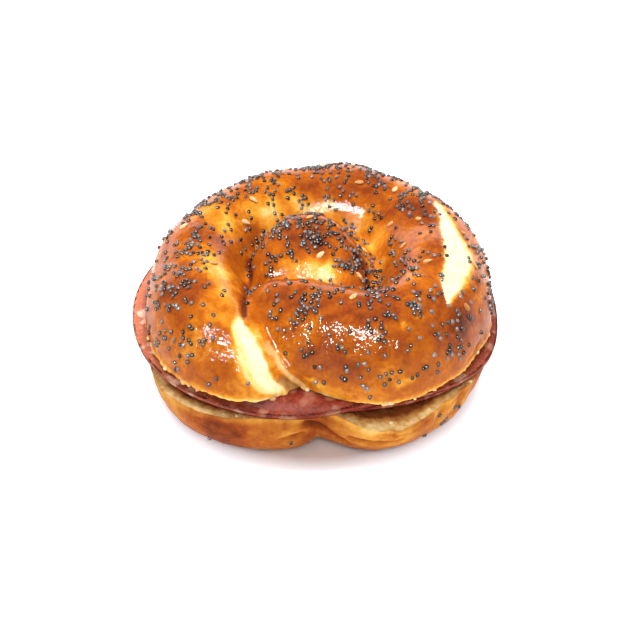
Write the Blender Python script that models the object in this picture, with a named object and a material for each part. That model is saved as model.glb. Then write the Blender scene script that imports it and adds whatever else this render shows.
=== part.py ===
# Pretzel sandwich: a round roll made of one coiled rope of pretzel dough, cut through
# and filled with three slices of salami. Sesame and poppy seeds are baked onto the top.
# Named sizes are in millimetres and the meshes in metres. Z is up, the front faces -Y.

import bpy
import numpy as np

MM = 0.001
PLAN_CENTRE = (-0.3, 2.7)

# Heights of the layers, from the table upwards.
CUT_HEIGHT = 19.4
SLICE_THICKNESS = 1.3
LAYER_GAP = 0.3
SLICE_COUNT = 3
TOP_LIFT = SLICE_COUNT * SLICE_THICKNESS + (SLICE_COUNT + 1) * LAYER_GAP

# Coil of the top half. Each row: x, y, height of the centre, half width, half height.
FRONT_ROPE = [
    (-10.5, -23.5, 21.0, 11.5, 18.0),
    (-3.0, -27.0, 22.0, 13.5, 19.5),
    (5.0, -31.5, 22.0, 14.8, 20.5),
    (14.0, -34.5, 21.0, 15.6, 21.5),
    (22.8, -30.8, 20.5, 16.2, 22.0),
    (29.6, -23.0, 20.0, 16.8, 22.5),
    (33.8, -11.5, 20.0, 17.6, 23.0),
    (34.6, 3.0, 20.0, 18.2, 23.0),
    (30.6, 17.2, 20.0, 17.2, 23.3),
    (21.4, 27.4, 20.0, 16.8, 23.8),
    (7.6, 33.1, 20.0, 17.0, 24.3),
]
LEFT_ROPE = [
    (11.5, 32.6, 20.0, 16.8, 24.3),
    (-3.0, 33.2, 20.0, 16.8, 24.3),
    (-16.0, 28.2, 20.0, 16.0, 23.8),
    (-26.8, 18.6, 20.0, 15.5, 23.0),
    (-34.0, 5.0, 20.0, 15.8, 22.5),
    (-34.8, -10.0, 20.0, 15.4, 22.0),
    (-31.0, -23.0, 19.5, 15.3, 21.5),
    (-25.0, -32.0, 18.5, 14.4, 20.0),
    (-17.0, -37.0, 17.0, 11.8, 16.5),
    (-10.0, -39.0, 15.0, 8.0, 12.0),
]
# End of the rope, curled up in the middle, and the small lobe beside it.
KNOB_SWELLINGS = [
    (-12.0, -10.0, 20.0, 9.8, 19.5),
    (-11.5, -3.0, 21.0, 10.8, 22.5),
    (-8.0, 2.0, 21.5, 12.0, 23.5),
    (-2.0, 4.5, 21.5, 12.0, 24.0),
    (4.0, 2.5, 21.0, 11.4, 23.5),
    (8.0, -4.0, 21.0, 9.8, 22.0),
    (9.5, -12.0, 20.0, 9.0, 20.0),
    (9.5, -20.0, 19.0, 8.0, 18.5),
    (-3.0, -8.0, 19.0, 11.0, 20.0),
    (4.0, -12.0, 18.5, 9.0, 19.5),
]
LOBE_SWELLINGS = [
    (9.0, 13.5, 18.0, 6.0, 19.5),
    (12.5, 9.0, 18.0, 5.5, 20.5),
    (14.5, 3.0, 18.0, 4.6, 19.0),
]
# Dough that joins the arms under the creases.
HEART_ROPE = [
    (-4.0, 0.0, 20.0, 33.0, 12.0),
    (4.0, 0.0, 20.0, 33.0, 12.0),
]

# Bottom half: the same two arms, spread a little where they meet the table.
LOWER_RIGHT_ROPE = [
    (7.0, -34.5, 20.0, 12.5, 21.0),
    (14.5, -35.0, 21.0, 15.2, 21.5),
    (23.6, -32.0, 20.5, 16.2, 22.0),
    (30.6, -24.2, 20.0, 16.8, 22.5),
    (34.2, -12.0, 20.0, 17.5, 23.0),
    (34.6, 3.0, 20.0, 17.8, 23.0),
    (30.6, 17.2, 20.0, 17.1, 23.3),
    (21.4, 27.4, 20.0, 16.8, 23.8),
    (7.6, 33.1, 20.0, 17.0, 24.3),
]
LOWER_LEFT_ROPE = [
    (11.5, 32.6, 20.0, 16.8, 24.3),
    (-3.0, 33.2, 20.0, 16.8, 24.3),
    (-16.0, 28.2, 20.0, 16.2, 23.8),
    (-26.8, 18.6, 20.0, 15.7, 23.0),
    (-34.0, 5.0, 20.0, 15.8, 22.5),
    (-34.6, -10.0, 20.0, 15.8, 22.0),
    (-31.8, -22.5, 19.5, 16.2, 21.5),
    (-26.4, -30.5, 18.5, 17.0, 20.0),
    (-18.0, -34.5, 18.0, 14.6, 16.5),
    (-8.0, -36.5, 18.0, 12.0, 12.0),
]
MIDDLE_ROPE = [
    (-4.0, 0.0, 20.0, 34.0, 22.0),
    (4.0, 0.0, 20.0, 34.0, 22.0),
]

ROPE_STEPS = 12
ROUND_ABOVE = 2.0
ROUND_BELOW = 2.3
FLAT_BELOW = 5.0
TABLE_SINK = 1.0
CREASE_BLEND = 0.6
SWELLING_BLEND = 2.2
SWELLING_TRIM = 0.9

# Lookup grid of the rope, seen from above.
MAP_STEP = 0.5
MAP_HALF = 64.0

# The crust is found along rays that stand upright in the middle and lean out to the rim.
RAY_RING = 34.0
RAY_LEAN = 2.6
RAY_START = 40.0
RAY_STEPS = 70
RAY_STRIDE = 0.6
RELAX_PASSES = 2
TOP_GRID = 45
BOTTOM_GRID = 31

# Gentle unevenness of hand-shaped dough: depth, then the wavelengths along X and Y.
SWELL_DEPTH = 0.3
SWELL_WAVES = [(7.1, 8.3, 0.4), (5.2, 6.4, 2.1), (9.0, 4.9, 4.0)]

# Splits where the dough tore open in the oven, as edges that run along the crust.
# Right split by y: left edge x, right edge x.
RIGHT_SPLIT = [
    (-32.0, 34.6, 35.0),
    (-30.0, 34.2, 36.3),
    (-24.0, 33.9, 40.4),
    (-16.0, 35.2, 43.2),
    (-9.0, 35.7, 44.3),
    (-2.0, 36.3, 42.9),
    (5.0, 36.9, 41.1),
    (15.0, 35.8, 38.0),
    (18.0, 35.6, 36.0),
]
# Front splits by height above the cut: left edge x, right edge x.
FRONT_SPLIT = [
    (20.0, -12.0, -4.5),
    (23.1, -13.5, -8.1),
    (25.4, -16.2, -11.6),
    (29.0, -18.1, -14.0),
    (31.5, -18.9, -15.2),
    (34.1, -20.7, -18.0),
    (36.3, -21.1, -20.8),
]
TORN_STRIP = [
    (20.0, -3.0, -0.5),
    (22.6, -6.3, -2.6),
    (25.7, -8.9, -6.6),
    (28.5, -11.8, -9.3),
    (31.4, -14.6, -13.4),
]
SPLIT_DEPTH = 1.1
STRIP_DEPTH = 0.6
SPLIT_EDGE = 0.25
FRONT_SPLIT_BACK = -28.0

# Salami. Each row: centre x, centre y, radius and bulge of one slice, from the bottom up.
SALAMI_SLICES = [
    (0.8, 4.0, 52.2, 3.0),
    (1.6, 5.0, 52.6, 4.6),
    (-2.5, 1.5, 53.3, 0.0),
]
BULGE_DIRECTION = -42.0
BULGE_SPREAD = 25.0
SLICE_SEGMENTS = 48
SLICE_RINGS = (0.9, 0.94, 0.97, 1.0)
SLICE_WOBBLE = 0.006
# Droop of the slice edge: direction in degrees, spread in degrees, depth.
FRONT_DROOP = [(-100.0, 30.0, 2.2), (-165.0, 35.0, 0.7)]
FRONT_DROOP_WIDTH = 3.5
DROOP_CLEARANCE = 0.6
SIDE_DROOP_START = 52.8
SIDE_DROOP_WIDTH = 3.0
SIDE_DROOP_DEPTH = 0.8
SIDE_DROOP_DIRECTION = -5.0
SIDE_DROOP_SPREAD = 25.0

# Seeds: length, width and height of each kind, and how far they are spaced.
SESAME_SIZE = (3.0, 1.8, 0.9)
POPPY_SIZE = (1.3, 1.1, 0.95)
SESAME_COUNT = 30
SESAME_SPACING = 9.0
POPPY_COUNT = 130
POPPY_SPACING = 3.9
SEED_SINK = 0.3
SEED_RANDOM = 20
SEED_DRAWS = 9000
SEED_LOWEST = 27.0
# Where the seeds fell thickest. Each row: x, y, reach, share.
SEED_PATCHES = [
    (-36.0, 0.0, 15.0, 0.9),
    (-28.0, 22.0, 14.0, 0.55),
    (0.0, 36.0, 19.0, 0.85),
    (24.0, 26.0, 14.0, 0.85),
    (36.0, 2.0, 13.0, 0.7),
    (38.0, -20.0, 12.0, 0.55),
    (-4.0, -1.0, 11.0, 0.95),
    (17.0, -8.0, 9.0, 0.9),
    (4.0, -30.0, 11.0, 0.6),
    (22.0, -34.0, 13.0, 0.4),
    (-28.0, -30.0, 10.0, 0.3),
]
SEED_FLOOR = 0.05

CRUST_COLOUR = (0.47, 0.17, 0.035, 1.0)
CRUST_ROUGHNESS = 0.32
LOWER_CRUST_COLOUR = (0.55, 0.24, 0.07, 1.0)
LOWER_CRUST_ROUGHNESS = 0.48
SALAMI_COLOUR = (0.42, 0.12, 0.1, 1.0)
SALAMI_ROUGHNESS = 0.38


def smooth_step(value):
    value = np.clip(value, 0.0, 1.0)
    return value * value * (3.0 - 2.0 * value)


def rope_centre_line(rows):
    """Points of a smooth curve through the rows, each with its height and half sizes."""
    knots = np.asarray(rows, float)
    knots = np.vstack([2 * knots[0] - knots[1], knots, 2 * knots[-1] - knots[-2]])
    share = np.linspace(0.0, 1.0, ROPE_STEPS, endpoint=False)[:, None]
    pieces = []
    for before, start, end, after in zip(knots, knots[1:], knots[2:], knots[3:]):
        bend = 2 * before - 5 * start + 4 * end - after
        twist = 3 * start - before - 3 * end + after
        pieces.append(
            start
            + 0.5 * (end - before) * share
            + 0.5 * bend * share**2
            + 0.5 * twist * share**3
        )
    pieces.append(knots[-2:-1])
    return np.vstack(pieces)


def rope_map(rows):
    """For each spot of the plan: squared reach from the rope, its centre height and half sizes."""
    line = rope_centre_line(rows)
    axis = np.arange(-MAP_HALF, MAP_HALF + MAP_STEP / 2, MAP_STEP)
    plan_x, plan_y = np.meshgrid(axis, axis, indexing="ij")
    reach = np.full(plan_x.shape, np.inf)
    section = np.zeros(plan_x.shape + (3,))
    for start, end in zip(line[:-1], line[1:]):
        step = end - start
        length = max(step[0] ** 2 + step[1] ** 2, 1e-9)
        share = ((plan_x - start[0]) * step[0] + (plan_y - start[1]) * step[1]) / length
        share = np.clip(share, 0.0, 1.0)
        gap = (plan_x - start[0] - share * step[0]) ** 2
        gap = gap + (plan_y - start[1] - share * step[1]) ** 2
        here = gap / (start[3] + share * step[3]) ** 2
        nearer = here < reach
        reach = np.where(nearer, here, reach)
        for slot in range(3):
            value = start[slot + 2] + share * step[slot + 2]
            section[..., slot] = np.where(nearer, value, section[..., slot])
    return np.concatenate([reach[..., None], section], axis=-1)


def look_up(table, points):
    """Values of the plan table at the points, blended from the four nearest spots."""
    last = table.shape[0] - 1.001
    across = np.clip((points[:, 0] + MAP_HALF) / MAP_STEP, 0.0, last)
    along = np.clip((points[:, 1] + MAP_HALF) / MAP_STEP, 0.0, last)
    i = across.astype(int)
    j = along.astype(int)
    u = (across - i)[:, None]
    v = (along - j)[:, None]
    near = table[i, j] * (1 - u) + table[i + 1, j] * u
    far = table[i, j + 1] * (1 - u) + table[i + 1, j + 1] * u
    return near * (1 - v) + far * v


def soft_union(distances, blend):
    least = np.min(distances, axis=0)
    total = sum(np.exp((least - distance) / blend) for distance in distances)
    return least - blend * np.log(total)


def rope_distance(table, points, below):
    """Signed distance, roughly, from a rope with a rounded section."""
    near = look_up(table, points)
    rise = points[:, 2] - near[:, 1]
    power = np.where(rise > 0, ROUND_ABOVE, below)
    half_height = np.where(rise > 0, near[:, 3], near[:, 1] + TABLE_SINK)
    level = near[:, 0] ** (power / 2) + (np.abs(rise) / half_height) ** power
    return (level ** (1 / power) - 1) * np.minimum(near[:, 2], near[:, 3])


def swelling_distance(rows, points):
    """Signed distance, roughly, from a group of egg shapes melted together."""
    distances = []
    for x, y, z, half_width, half_height in rows:
        flat = ((points[:, 0] - x) ** 2 + (points[:, 1] - y) ** 2) / half_width**2
        level = np.sqrt(flat + ((points[:, 2] - z) / half_height) ** 2) - 1
        distances.append(level * min(half_width, half_height))
    return soft_union(distances, SWELLING_BLEND) + SWELLING_BLEND * SWELLING_TRIM


def top_distance(ropes, points):
    distances = [rope_distance(table, points, ROUND_BELOW) for table in ropes]
    distances.append(swelling_distance(KNOB_SWELLINGS, points))
    distances.append(swelling_distance(LOBE_SWELLINGS, points))
    return soft_union(distances, CREASE_BLEND)


def bottom_distance(ropes, points):
    distances = [rope_distance(table, points, ROUND_BELOW) for table in ropes[:2]]
    distances.append(rope_distance(ropes[2], points, FLAT_BELOW))
    return soft_union(distances, CREASE_BLEND)


def disc_from_square(count):
    """Radius (0 to 1) and angle of a square grid pulled out to a disc."""
    side = np.linspace(-1.0, 1.0, count)
    across, along = np.meshgrid(side, side)
    radius = np.maximum(np.abs(across), np.abs(along))
    safe_across = np.where(across == 0, 1.0, across)
    safe_along = np.where(along == 0, 1.0, along)
    beside = np.pi / 4 * along / safe_across + np.where(across < 0, np.pi, 0.0)
    above = np.pi / 2 - np.pi / 4 * across / safe_along
    above = above + np.where(along < 0, np.pi, 0.0)
    return radius, np.where(np.abs(across) >= np.abs(along), beside, above)


def crust_rays(count, upward):
    """Start points and directions of the rays on which the crust is looked for."""
    radius, angle = disc_from_square(count)
    lean = np.pi / 2 * radius**RAY_LEAN
    rise = np.cos(lean) * (1 if upward else -1)
    way = np.stack([np.sin(lean) * np.cos(angle), np.sin(lean) * np.sin(angle), rise], -1)
    level = np.full_like(radius, CUT_HEIGHT)
    ring = RAY_RING * radius
    start = np.stack([ring * np.cos(angle), ring * np.sin(angle), level], -1)
    return start.reshape(-1, 3), way.reshape(-1, 3)


def crust_points(start, way, distance):
    """First point of the crust on each ray, found by walking in from outside."""
    reach = np.full(len(start), RAY_START)
    for _ in range(RAY_STEPS):
        gap = distance(start + way * reach[:, None])
        reach = reach - np.clip(gap * RAY_STRIDE, -0.3, 2.5)
    return start + way * reach[:, None]


def split_mask(edges, along, across):
    """1 inside a split, 0 outside, and where a point lies between its two edges."""
    rows = np.asarray(edges)
    left = np.interp(along, rows[:, 0], rows[:, 1])
    right = np.interp(along, rows[:, 0], rows[:, 2])
    share = (across - left) / (right - left)
    inside = smooth_step(share / SPLIT_EDGE) * smooth_step((1 - share) / SPLIT_EDGE)
    within = (along > rows[0, 0]) & (along < rows[-1, 0])
    return np.where(within, inside, 0.0), share


def top_relief(points):
    """How far the crust of the top half stands out (+) or is torn in (-)."""
    x, y, z = points.T
    swell = sum(np.sin(x / a + y / (a + b) + c) * np.sin(y / b + c) for a, b, c in SWELL_WAVES)
    right, share = split_mask(RIGHT_SPLIT, y, x)
    right = right * (1.0 - 0.6 * share) * (z > CUT_HEIGHT)
    front, _ = split_mask(FRONT_SPLIT, z, x)
    strip, _ = split_mask(TORN_STRIP, z, x)
    facing = y < FRONT_SPLIT_BACK
    torn = SPLIT_DEPTH * (right + front * facing) + STRIP_DEPTH * strip * facing
    return SWELL_DEPTH * swell - torn


def bottom_relief(points):
    x, y, _ = points.T
    swell = sum(np.sin(x / a + y / (a + b) + c) * np.sin(y / b + c) for a, b, c in SWELL_WAVES)
    return SWELL_DEPTH * swell


def relaxed(surface, passes):
    """The surface with the steps evened out that the rays leave along a crease."""
    for _ in range(passes):
        beside = surface[1:-1, :-2] + surface[1:-1, 2:]
        around = (surface[:-2, 1:-1] + surface[2:, 1:-1] + beside) / 4
        surface = surface.copy()
        surface[1:-1, 1:-1] = (surface[1:-1, 1:-1] + around) / 2
    return surface


def half_surface(count, upward):
    """Square array of points over the crust of one half of the roll."""
    start, way = crust_rays(count, upward)
    if upward:
        ropes = [rope_map(FRONT_ROPE), rope_map(LEFT_ROPE), rope_map(HEART_ROPE)]
        points = crust_points(start, way, lambda spots: top_distance(ropes, spots))
    else:
        ropes = [rope_map(LOWER_RIGHT_ROPE), rope_map(LOWER_LEFT_ROPE), rope_map(MIDDLE_ROPE)]
        points = crust_points(start, way, lambda spots: bottom_distance(ropes, spots))
    points = relaxed(points.reshape(count, count, 3), RELAX_PASSES).reshape(-1, 3)
    if upward:
        points = points + way * top_relief(points)[:, None]
        points[:, 2] += TOP_LIFT
    else:
        points = points + way * bottom_relief(points)[:, None]
        points[:, 2] = np.maximum(points[:, 2], 0.0)
    return points.reshape(count, count, 3)


def rim_loop(count):
    """Numbers of the outer points of the square array, in order round the rim."""
    number = np.arange(count * count).reshape(count, count)
    sides = [number[0, :-1], number[:-1, -1], number[-1, :0:-1], number[:0:-1, 0]]
    return np.concatenate(sides)


def add_object(name, points, faces, material):
    placed = np.asarray(points, float) - (PLAN_CENTRE[0], PLAN_CENTRE[1], 0.0)
    mesh = bpy.data.meshes.new(name)
    mesh.from_pydata((placed * MM).tolist(), [], faces)
    mesh.materials.append(material)
    mesh.shade_smooth()
    thing = bpy.data.objects.new(name, mesh)
    bpy.context.scene.collection.objects.link(thing)
    return thing


def add_half(name, surface, upward, material):
    """One half of the roll: the crust, closed by the flat cut face at the rim."""
    count = surface.shape[0]
    number = np.arange(count * count).reshape(count, count)
    corners = [number[:-1, :-1], number[:-1, 1:], number[1:, 1:], number[1:, :-1]]
    quads = np.stack(corners, -1).reshape(-1, 4)
    rim = rim_loop(count)
    hub = np.full(len(rim), count * count)
    cut_face = np.stack([hub, np.roll(rim, -1), rim], -1)
    if not upward:
        quads = quads[:, ::-1]
        cut_face = cut_face[:, ::-1]
    middle = (0.0, 0.0, surface[0, 0, 2])
    points = np.vstack([surface.reshape(-1, 3), middle])
    faces = quads.tolist() + cut_face.tolist()
    half = add_object(name, points, faces, material)
    half.data.set_sharp_from_angle(angle=np.radians(60.0))
    return half


def bell(angle, direction, spread):
    """1 in the direction given in degrees, fading to 0 on both sides of it."""
    turn = (np.degrees(angle) - direction + 180.0) % 360.0 - 180.0
    return np.exp(-((turn / spread) ** 2))


def slice_radius(order, angle):
    """Reach of a slice from its centre: a circle with a slow wobble and a bulge."""
    _, _, radius, bulge = SALAMI_SLICES[order]
    wobble = SLICE_WOBBLE * (np.sin(3 * angle + order) + np.sin(5 * angle + 2 * order))
    return radius * (1.0 + wobble) + bulge * bell(angle, BULGE_DIRECTION, BULGE_SPREAD)


def slice_droop(order, x, y, angle):
    """How far the edge of a slice sinks below its middle."""
    if order < SLICE_COUNT - 1:
        outside = smooth_step((np.hypot(x, y) - SIDE_DROOP_START) / SIDE_DROOP_WIDTH)
        beside = bell(np.arctan2(y, x), SIDE_DROOP_DIRECTION, SIDE_DROOP_SPREAD)
        return SIDE_DROOP_DEPTH * outside * beside
    centre_x, centre_y = SALAMI_SLICES[order - 1][:2]
    reach = slice_radius(order - 1, np.arctan2(y - centre_y, x - centre_x))
    beyond = np.hypot(x - centre_x, y - centre_y) - reach - DROOP_CLEARANCE
    depth = sum(most * bell(angle, direction, spread) for direction, spread, most in FRONT_DROOP)
    return depth * smooth_step(beyond / FRONT_DROOP_WIDTH)


def add_slice(name, order, material):
    """A thin round slice, not quite true in outline, with an edge that droops."""
    centre_x, centre_y = SALAMI_SLICES[order][:2]
    base = CUT_HEIGHT + LAYER_GAP + order * (SLICE_THICKNESS + LAYER_GAP)
    angle = np.linspace(0.0, 2 * np.pi, SLICE_SEGMENTS, endpoint=False)
    radius = slice_radius(order, angle)
    points = []
    for raised in (0.0, SLICE_THICKNESS):
        for share in SLICE_RINGS:
            x = centre_x + radius * share * np.cos(angle)
            y = centre_y + radius * share * np.sin(angle)
            z = base + raised - slice_droop(order, x, y, angle)
            points.append(np.stack([x, y, z], -1))
    number = np.arange(len(points) * SLICE_SEGMENTS).reshape(len(points), SLICE_SEGMENTS)
    ring_count = len(SLICE_RINGS)
    lower = number[:ring_count]
    upper = number[ring_count:]
    bands = [(lower[k + 1], lower[k]) for k in range(ring_count - 1)]
    bands += [(upper[k], upper[k + 1]) for k in range(ring_count - 1)]
    bands.append((upper[-1], lower[-1]))
    faces = [upper[0].tolist(), lower[0][::-1].tolist()]
    for inner, outer in bands:
        quads = np.stack([inner, outer, np.roll(outer, -1), np.roll(inner, -1)], -1)
        faces += quads.tolist()
    piece = add_object(name, np.vstack(points), faces, material)
    piece.data.set_sharp_from_angle(angle=np.radians(50.0))
    return piece


def surface_frame(surface, across, along):
    """Points and outward normals of the crust at places given from 0 to 1 along both sides."""
    last = surface.shape[0] - 1
    i = np.minimum((along * last).astype(int), last - 1)
    j = np.minimum((across * last).astype(int), last - 1)
    v = (along * last - i)[:, None]
    u = (across * last - j)[:, None]
    near = surface[i, j] * (1 - u) + surface[i, j + 1] * u
    far = surface[i + 1, j] * (1 - u) + surface[i + 1, j + 1] * u
    slope_u = (surface[i, j + 1] - surface[i, j]) * (1 - v)
    slope_u = slope_u + (surface[i + 1, j + 1] - surface[i + 1, j]) * v
    normal = np.cross(slope_u, far - near)
    normal = normal / np.linalg.norm(normal, axis=1)[:, None]
    return near * (1 - v) + far * v, normal


def seed_share(points, normals):
    """How likely a seed is to lie at each point of the crust."""
    x, y, z = points.T
    share = np.full(len(points), SEED_FLOOR)
    for patch_x, patch_y, reach, strength in SEED_PATCHES:
        gap = (x - patch_x) ** 2 + (y - patch_y) ** 2
        share = np.maximum(share, strength * np.exp(-gap / reach**2))
    low = smooth_step((z - SEED_LOWEST) / 8.0)
    return share * low * (normals[:, 2] > 0.1)


def spaced(points, spacing, most):
    """Numbers of the points that keep the spacing from the ones kept before."""
    kept = []
    for index, point in enumerate(points):
        if len(kept) == most:
            break
        if all(np.linalg.norm(point - points[other]) > spacing for other in kept):
            kept.append(index)
    return kept


def add_seeds(name, places, normals, turns, size, group):
    """Faceted seeds of one kind, half sunk into the crust."""
    golden = (1 + 5**0.5) / 2
    corners = [(0, s, t * golden) for s in (-1, 1) for t in (-1, 1)]
    corners += [(s, t * golden, 0) for s in (-1, 1) for t in (-1, 1)]
    corners += [(t * golden, 0, s) for s in (-1, 1) for t in (-1, 1)]
    corners = np.array(corners, float) / np.hypot(1, golden)
    edge = 2 / np.hypot(1, golden)
    faces = []
    for a in range(12):
        for b in range(a + 1, 12):
            for c in range(b + 1, 12):
                sides = np.linalg.norm(corners[[a, b, c]] - corners[[b, c, a]], axis=1)
                if np.allclose(sides, edge):
                    facing = np.linalg.det(corners[[a, b, c]])
                    faces.append((a, b, c) if facing > 0 else (a, c, b))
    body = corners * np.asarray(size) / 2
    points = []
    for place, up, turn in zip(places, normals, turns):
        side = np.cross(up, (np.cos(turn), np.sin(turn), 0.1))
        side = side / np.linalg.norm(side)
        axes = np.array([side, np.cross(up, side), up])
        middle = place + up * size[2] * (0.5 - SEED_SINK)
        points.append(middle + body @ axes)
    all_faces = [tuple(np.add(face, 12 * k)) for k in range(len(points)) for face in faces]
    seeds = add_object(name, np.vstack(points), all_faces, group["material"])
    bpy.context.scene.collection.objects.unlink(seeds)
    group["collection"].objects.link(seeds)


def add_material(name, colour, roughness):
    material = bpy.data.materials.new(name)
    material.use_nodes = True
    surface = material.node_tree.nodes["Principled BSDF"]
    surface.inputs["Base Color"].default_value = colour
    surface.inputs["Roughness"].default_value = roughness
    surface.inputs["Metallic"].default_value = 0.0
    return material


def fuse_seeds(top, surface, material):
    """Draws places for the seeds, largest kind first, and joins them to the crust."""
    random = np.random.default_rng(SEED_RANDOM)
    across, along, chance, turns = random.random((4, SEED_DRAWS))
    places, normals = surface_frame(surface, across, along)
    kept = np.nonzero(chance < seed_share(places, normals))[0]
    sesame = kept[spaced(places[kept], SESAME_SPACING, SESAME_COUNT)]
    gap = np.linalg.norm(places[kept][:, None] - places[sesame][None], axis=2).min(axis=1)
    free = kept[gap > SESAME_SIZE[0]]
    poppy = free[spaced(places[free], POPPY_SPACING, POPPY_COUNT)]
    collection = bpy.data.collections.new("seeds")
    bpy.context.scene.collection.children.link(collection)
    group = {"collection": collection, "material": material}
    turns = turns * 2 * np.pi
    add_seeds("sesame", places[sesame], normals[sesame], turns[sesame], SESAME_SIZE, group)
    add_seeds("poppy", places[poppy], normals[poppy], turns[poppy], POPPY_SIZE, group)
    union = top.modifiers.new("seeds", "BOOLEAN")
    union.operation = "UNION"
    union.operand_type = "COLLECTION"
    union.collection = collection
    union.solver = "EXACT"
    bpy.context.view_layer.objects.active = top
    bpy.ops.object.modifier_apply(modifier=union.name)
    for seeds in list(collection.objects):
        bpy.data.objects.remove(seeds)
    bpy.data.collections.remove(collection)


def main():
    for thing in list(bpy.data.objects):
        bpy.data.objects.remove(thing)
    crust = add_material("baked_crust", CRUST_COLOUR, CRUST_ROUGHNESS)
    lower_crust = add_material("lower_crust", LOWER_CRUST_COLOUR, LOWER_CRUST_ROUGHNESS)
    salami = add_material("salami", SALAMI_COLOUR, SALAMI_ROUGHNESS)
    add_half("bun_bottom", half_surface(BOTTOM_GRID, False), False, lower_crust)
    for order in range(SLICE_COUNT):
        add_slice(f"salami_{order + 1}", order, salami)
    surface = half_surface(TOP_GRID, True)
    top = add_half("bun_top", surface, True, crust)
    fuse_seeds(top, surface, crust)


main()
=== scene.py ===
import bpy
import numpy as np
from mathutils import Matrix


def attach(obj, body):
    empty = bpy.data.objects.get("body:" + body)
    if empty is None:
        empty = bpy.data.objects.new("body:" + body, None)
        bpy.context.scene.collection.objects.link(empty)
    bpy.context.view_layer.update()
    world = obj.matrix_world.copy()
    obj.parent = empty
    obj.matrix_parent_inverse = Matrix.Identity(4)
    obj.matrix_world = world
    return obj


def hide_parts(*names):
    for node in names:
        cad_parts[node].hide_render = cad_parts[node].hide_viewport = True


# Pretzel sandwich: a coiled, glazed pretzel roll cut through and filled with three slices
# of salami, with poppy and sesame seeds baked onto it. Lengths are in millimetres here and
# turned to metres when a mesh is made. Z is up and the front faces -Y.

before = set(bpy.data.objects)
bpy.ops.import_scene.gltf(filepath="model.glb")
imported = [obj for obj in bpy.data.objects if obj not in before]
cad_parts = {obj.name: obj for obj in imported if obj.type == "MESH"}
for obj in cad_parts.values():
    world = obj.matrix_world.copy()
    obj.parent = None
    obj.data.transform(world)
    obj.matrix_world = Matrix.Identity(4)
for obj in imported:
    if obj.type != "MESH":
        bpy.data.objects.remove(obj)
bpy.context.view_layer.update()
print("packed part is in")


dough = {
    "planCentre": (-0.3, 2.7),    # what the part's frame takes as its middle
    "cutHeight": 19.4,
    "topLift": 5.1,    # how far the salami holds the upper half up
    # rows of a rope: x, y, height of the centre, half width, half height
    "frontRope": [
        (-10.5, -23.5, 21, 11.5, 18), (-3, -27, 22, 13.5, 19.5), (5, -31.5, 22, 14.8, 20.5),
        (14, -34.5, 21, 15.6, 21.5), (22.8, -30.8, 20.5, 16.2, 22), (29.6, -23, 20, 16.8, 22.5),
        (33.8, -11.5, 20, 17.6, 23), (34.6, 3, 20, 18.2, 23), (30.6, 17.2, 20, 17.2, 23.3),
        (21.4, 27.4, 20, 16.8, 23.8), (7.6, 33.1, 20, 17, 24.3),
    ],
    "leftRope": [
        (11.5, 32.6, 20, 16.8, 24.3), (-3, 33.2, 20, 16.8, 24.3), (-16, 28.2, 20, 16, 23.8),
        (-26.8, 18.6, 20, 15.5, 23), (-34, 5, 20, 15.8, 22.5), (-34.8, -10, 20, 15.4, 22),
        (-31, -23, 19.5, 15.3, 21.5), (-25, -32, 18.5, 14.4, 20), (-17, -37, 17, 11.8, 16.5),
        (-10, -39, 15, 8, 12),
    ],
    "knob": [
        (-12, -10, 20, 9.8, 19.5), (-11.5, -3, 21, 10.8, 22.5), (-8, 2, 21.5, 12, 23.5),
        (-2, 4.5, 21.5, 12, 24), (4, 2.5, 21, 11.4, 23.5), (8, -4, 21, 9.8, 22),
        (9.5, -12, 20, 9, 20), (9.5, -20, 19, 8, 18.5), (-3, -8, 19, 11, 20),
        (4, -12, 18.5, 9, 19.5),
    ],
    # the low rise behind the knob, and the dough that fills the ring under it
    "lobe": [(9, 13.5, 18, 6, 19.5), (12.5, 9, 18, 5.5, 20.5), (14.5, 3, 18, 4.6, 19)],
    "heart": [(-4, 0, 20, 33, 12), (4, 0, 20, 33, 12)],
    "lowerRightRope": [
        (7, -34.5, 20, 12.5, 21), (14.5, -35, 21, 15.2, 21.5), (23.6, -32, 20.5, 16.2, 22),
        (30.6, -24.2, 20, 16.8, 22.5), (34.2, -12, 20, 17.5, 23), (34.6, 3, 20, 17.8, 23),
        (30.6, 17.2, 20, 17.1, 23.3), (21.4, 27.4, 20, 16.8, 23.8), (7.6, 33.1, 20, 17, 24.3),
    ],
    "lowerLeftRope": [
        (11.5, 32.6, 20, 16.8, 24.3), (-3, 33.2, 20, 16.8, 24.3), (-16, 28.2, 20, 16.2, 23.8),
        (-26.8, 18.6, 20, 15.7, 23), (-34, 5, 20, 15.8, 22.5), (-34.6, -10, 20, 15.8, 22),
        (-31.8, -22.5, 19.5, 16.2, 21.5), (-26.4, -30.5, 18.5, 17, 20),
        (-18, -34.5, 18, 14.6, 16.5), (-8, -36.5, 18, 12, 12),
    ],
    # fills the lower half's middle
    "middle": [(-4, 0, 20, 34, 22), (4, 0, 20, 34, 22)],
    # two lengths and a start for each wave
    "swells": [(7.1, 8.3, 0.4), (5.2, 6.4, 2.1), (9.0, 4.9, 4.0)],
    "swellDepth": 0.3,
    "blend": 0.6,    # how softly neighbouring ropes melt together
    # spacing and half side of a rope's plan, as seen from above
    "planStep": 0.5,
    "planHalf": 64.0,
    # the rays start within this ring, lean out and reach this far at first
    "ringRadius": 34.0,
    "leanPower": 2.6,
    "farReach": 40.0,
    "marches": 70,
}


def smoothStep(value):
    # 0 up to 1 along an S curve: 3 v squared minus 2 v cubed
    value = np.clip(value, 0.0, 1.0)
    return value * value * (3.0 - 2.0 * value)


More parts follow.
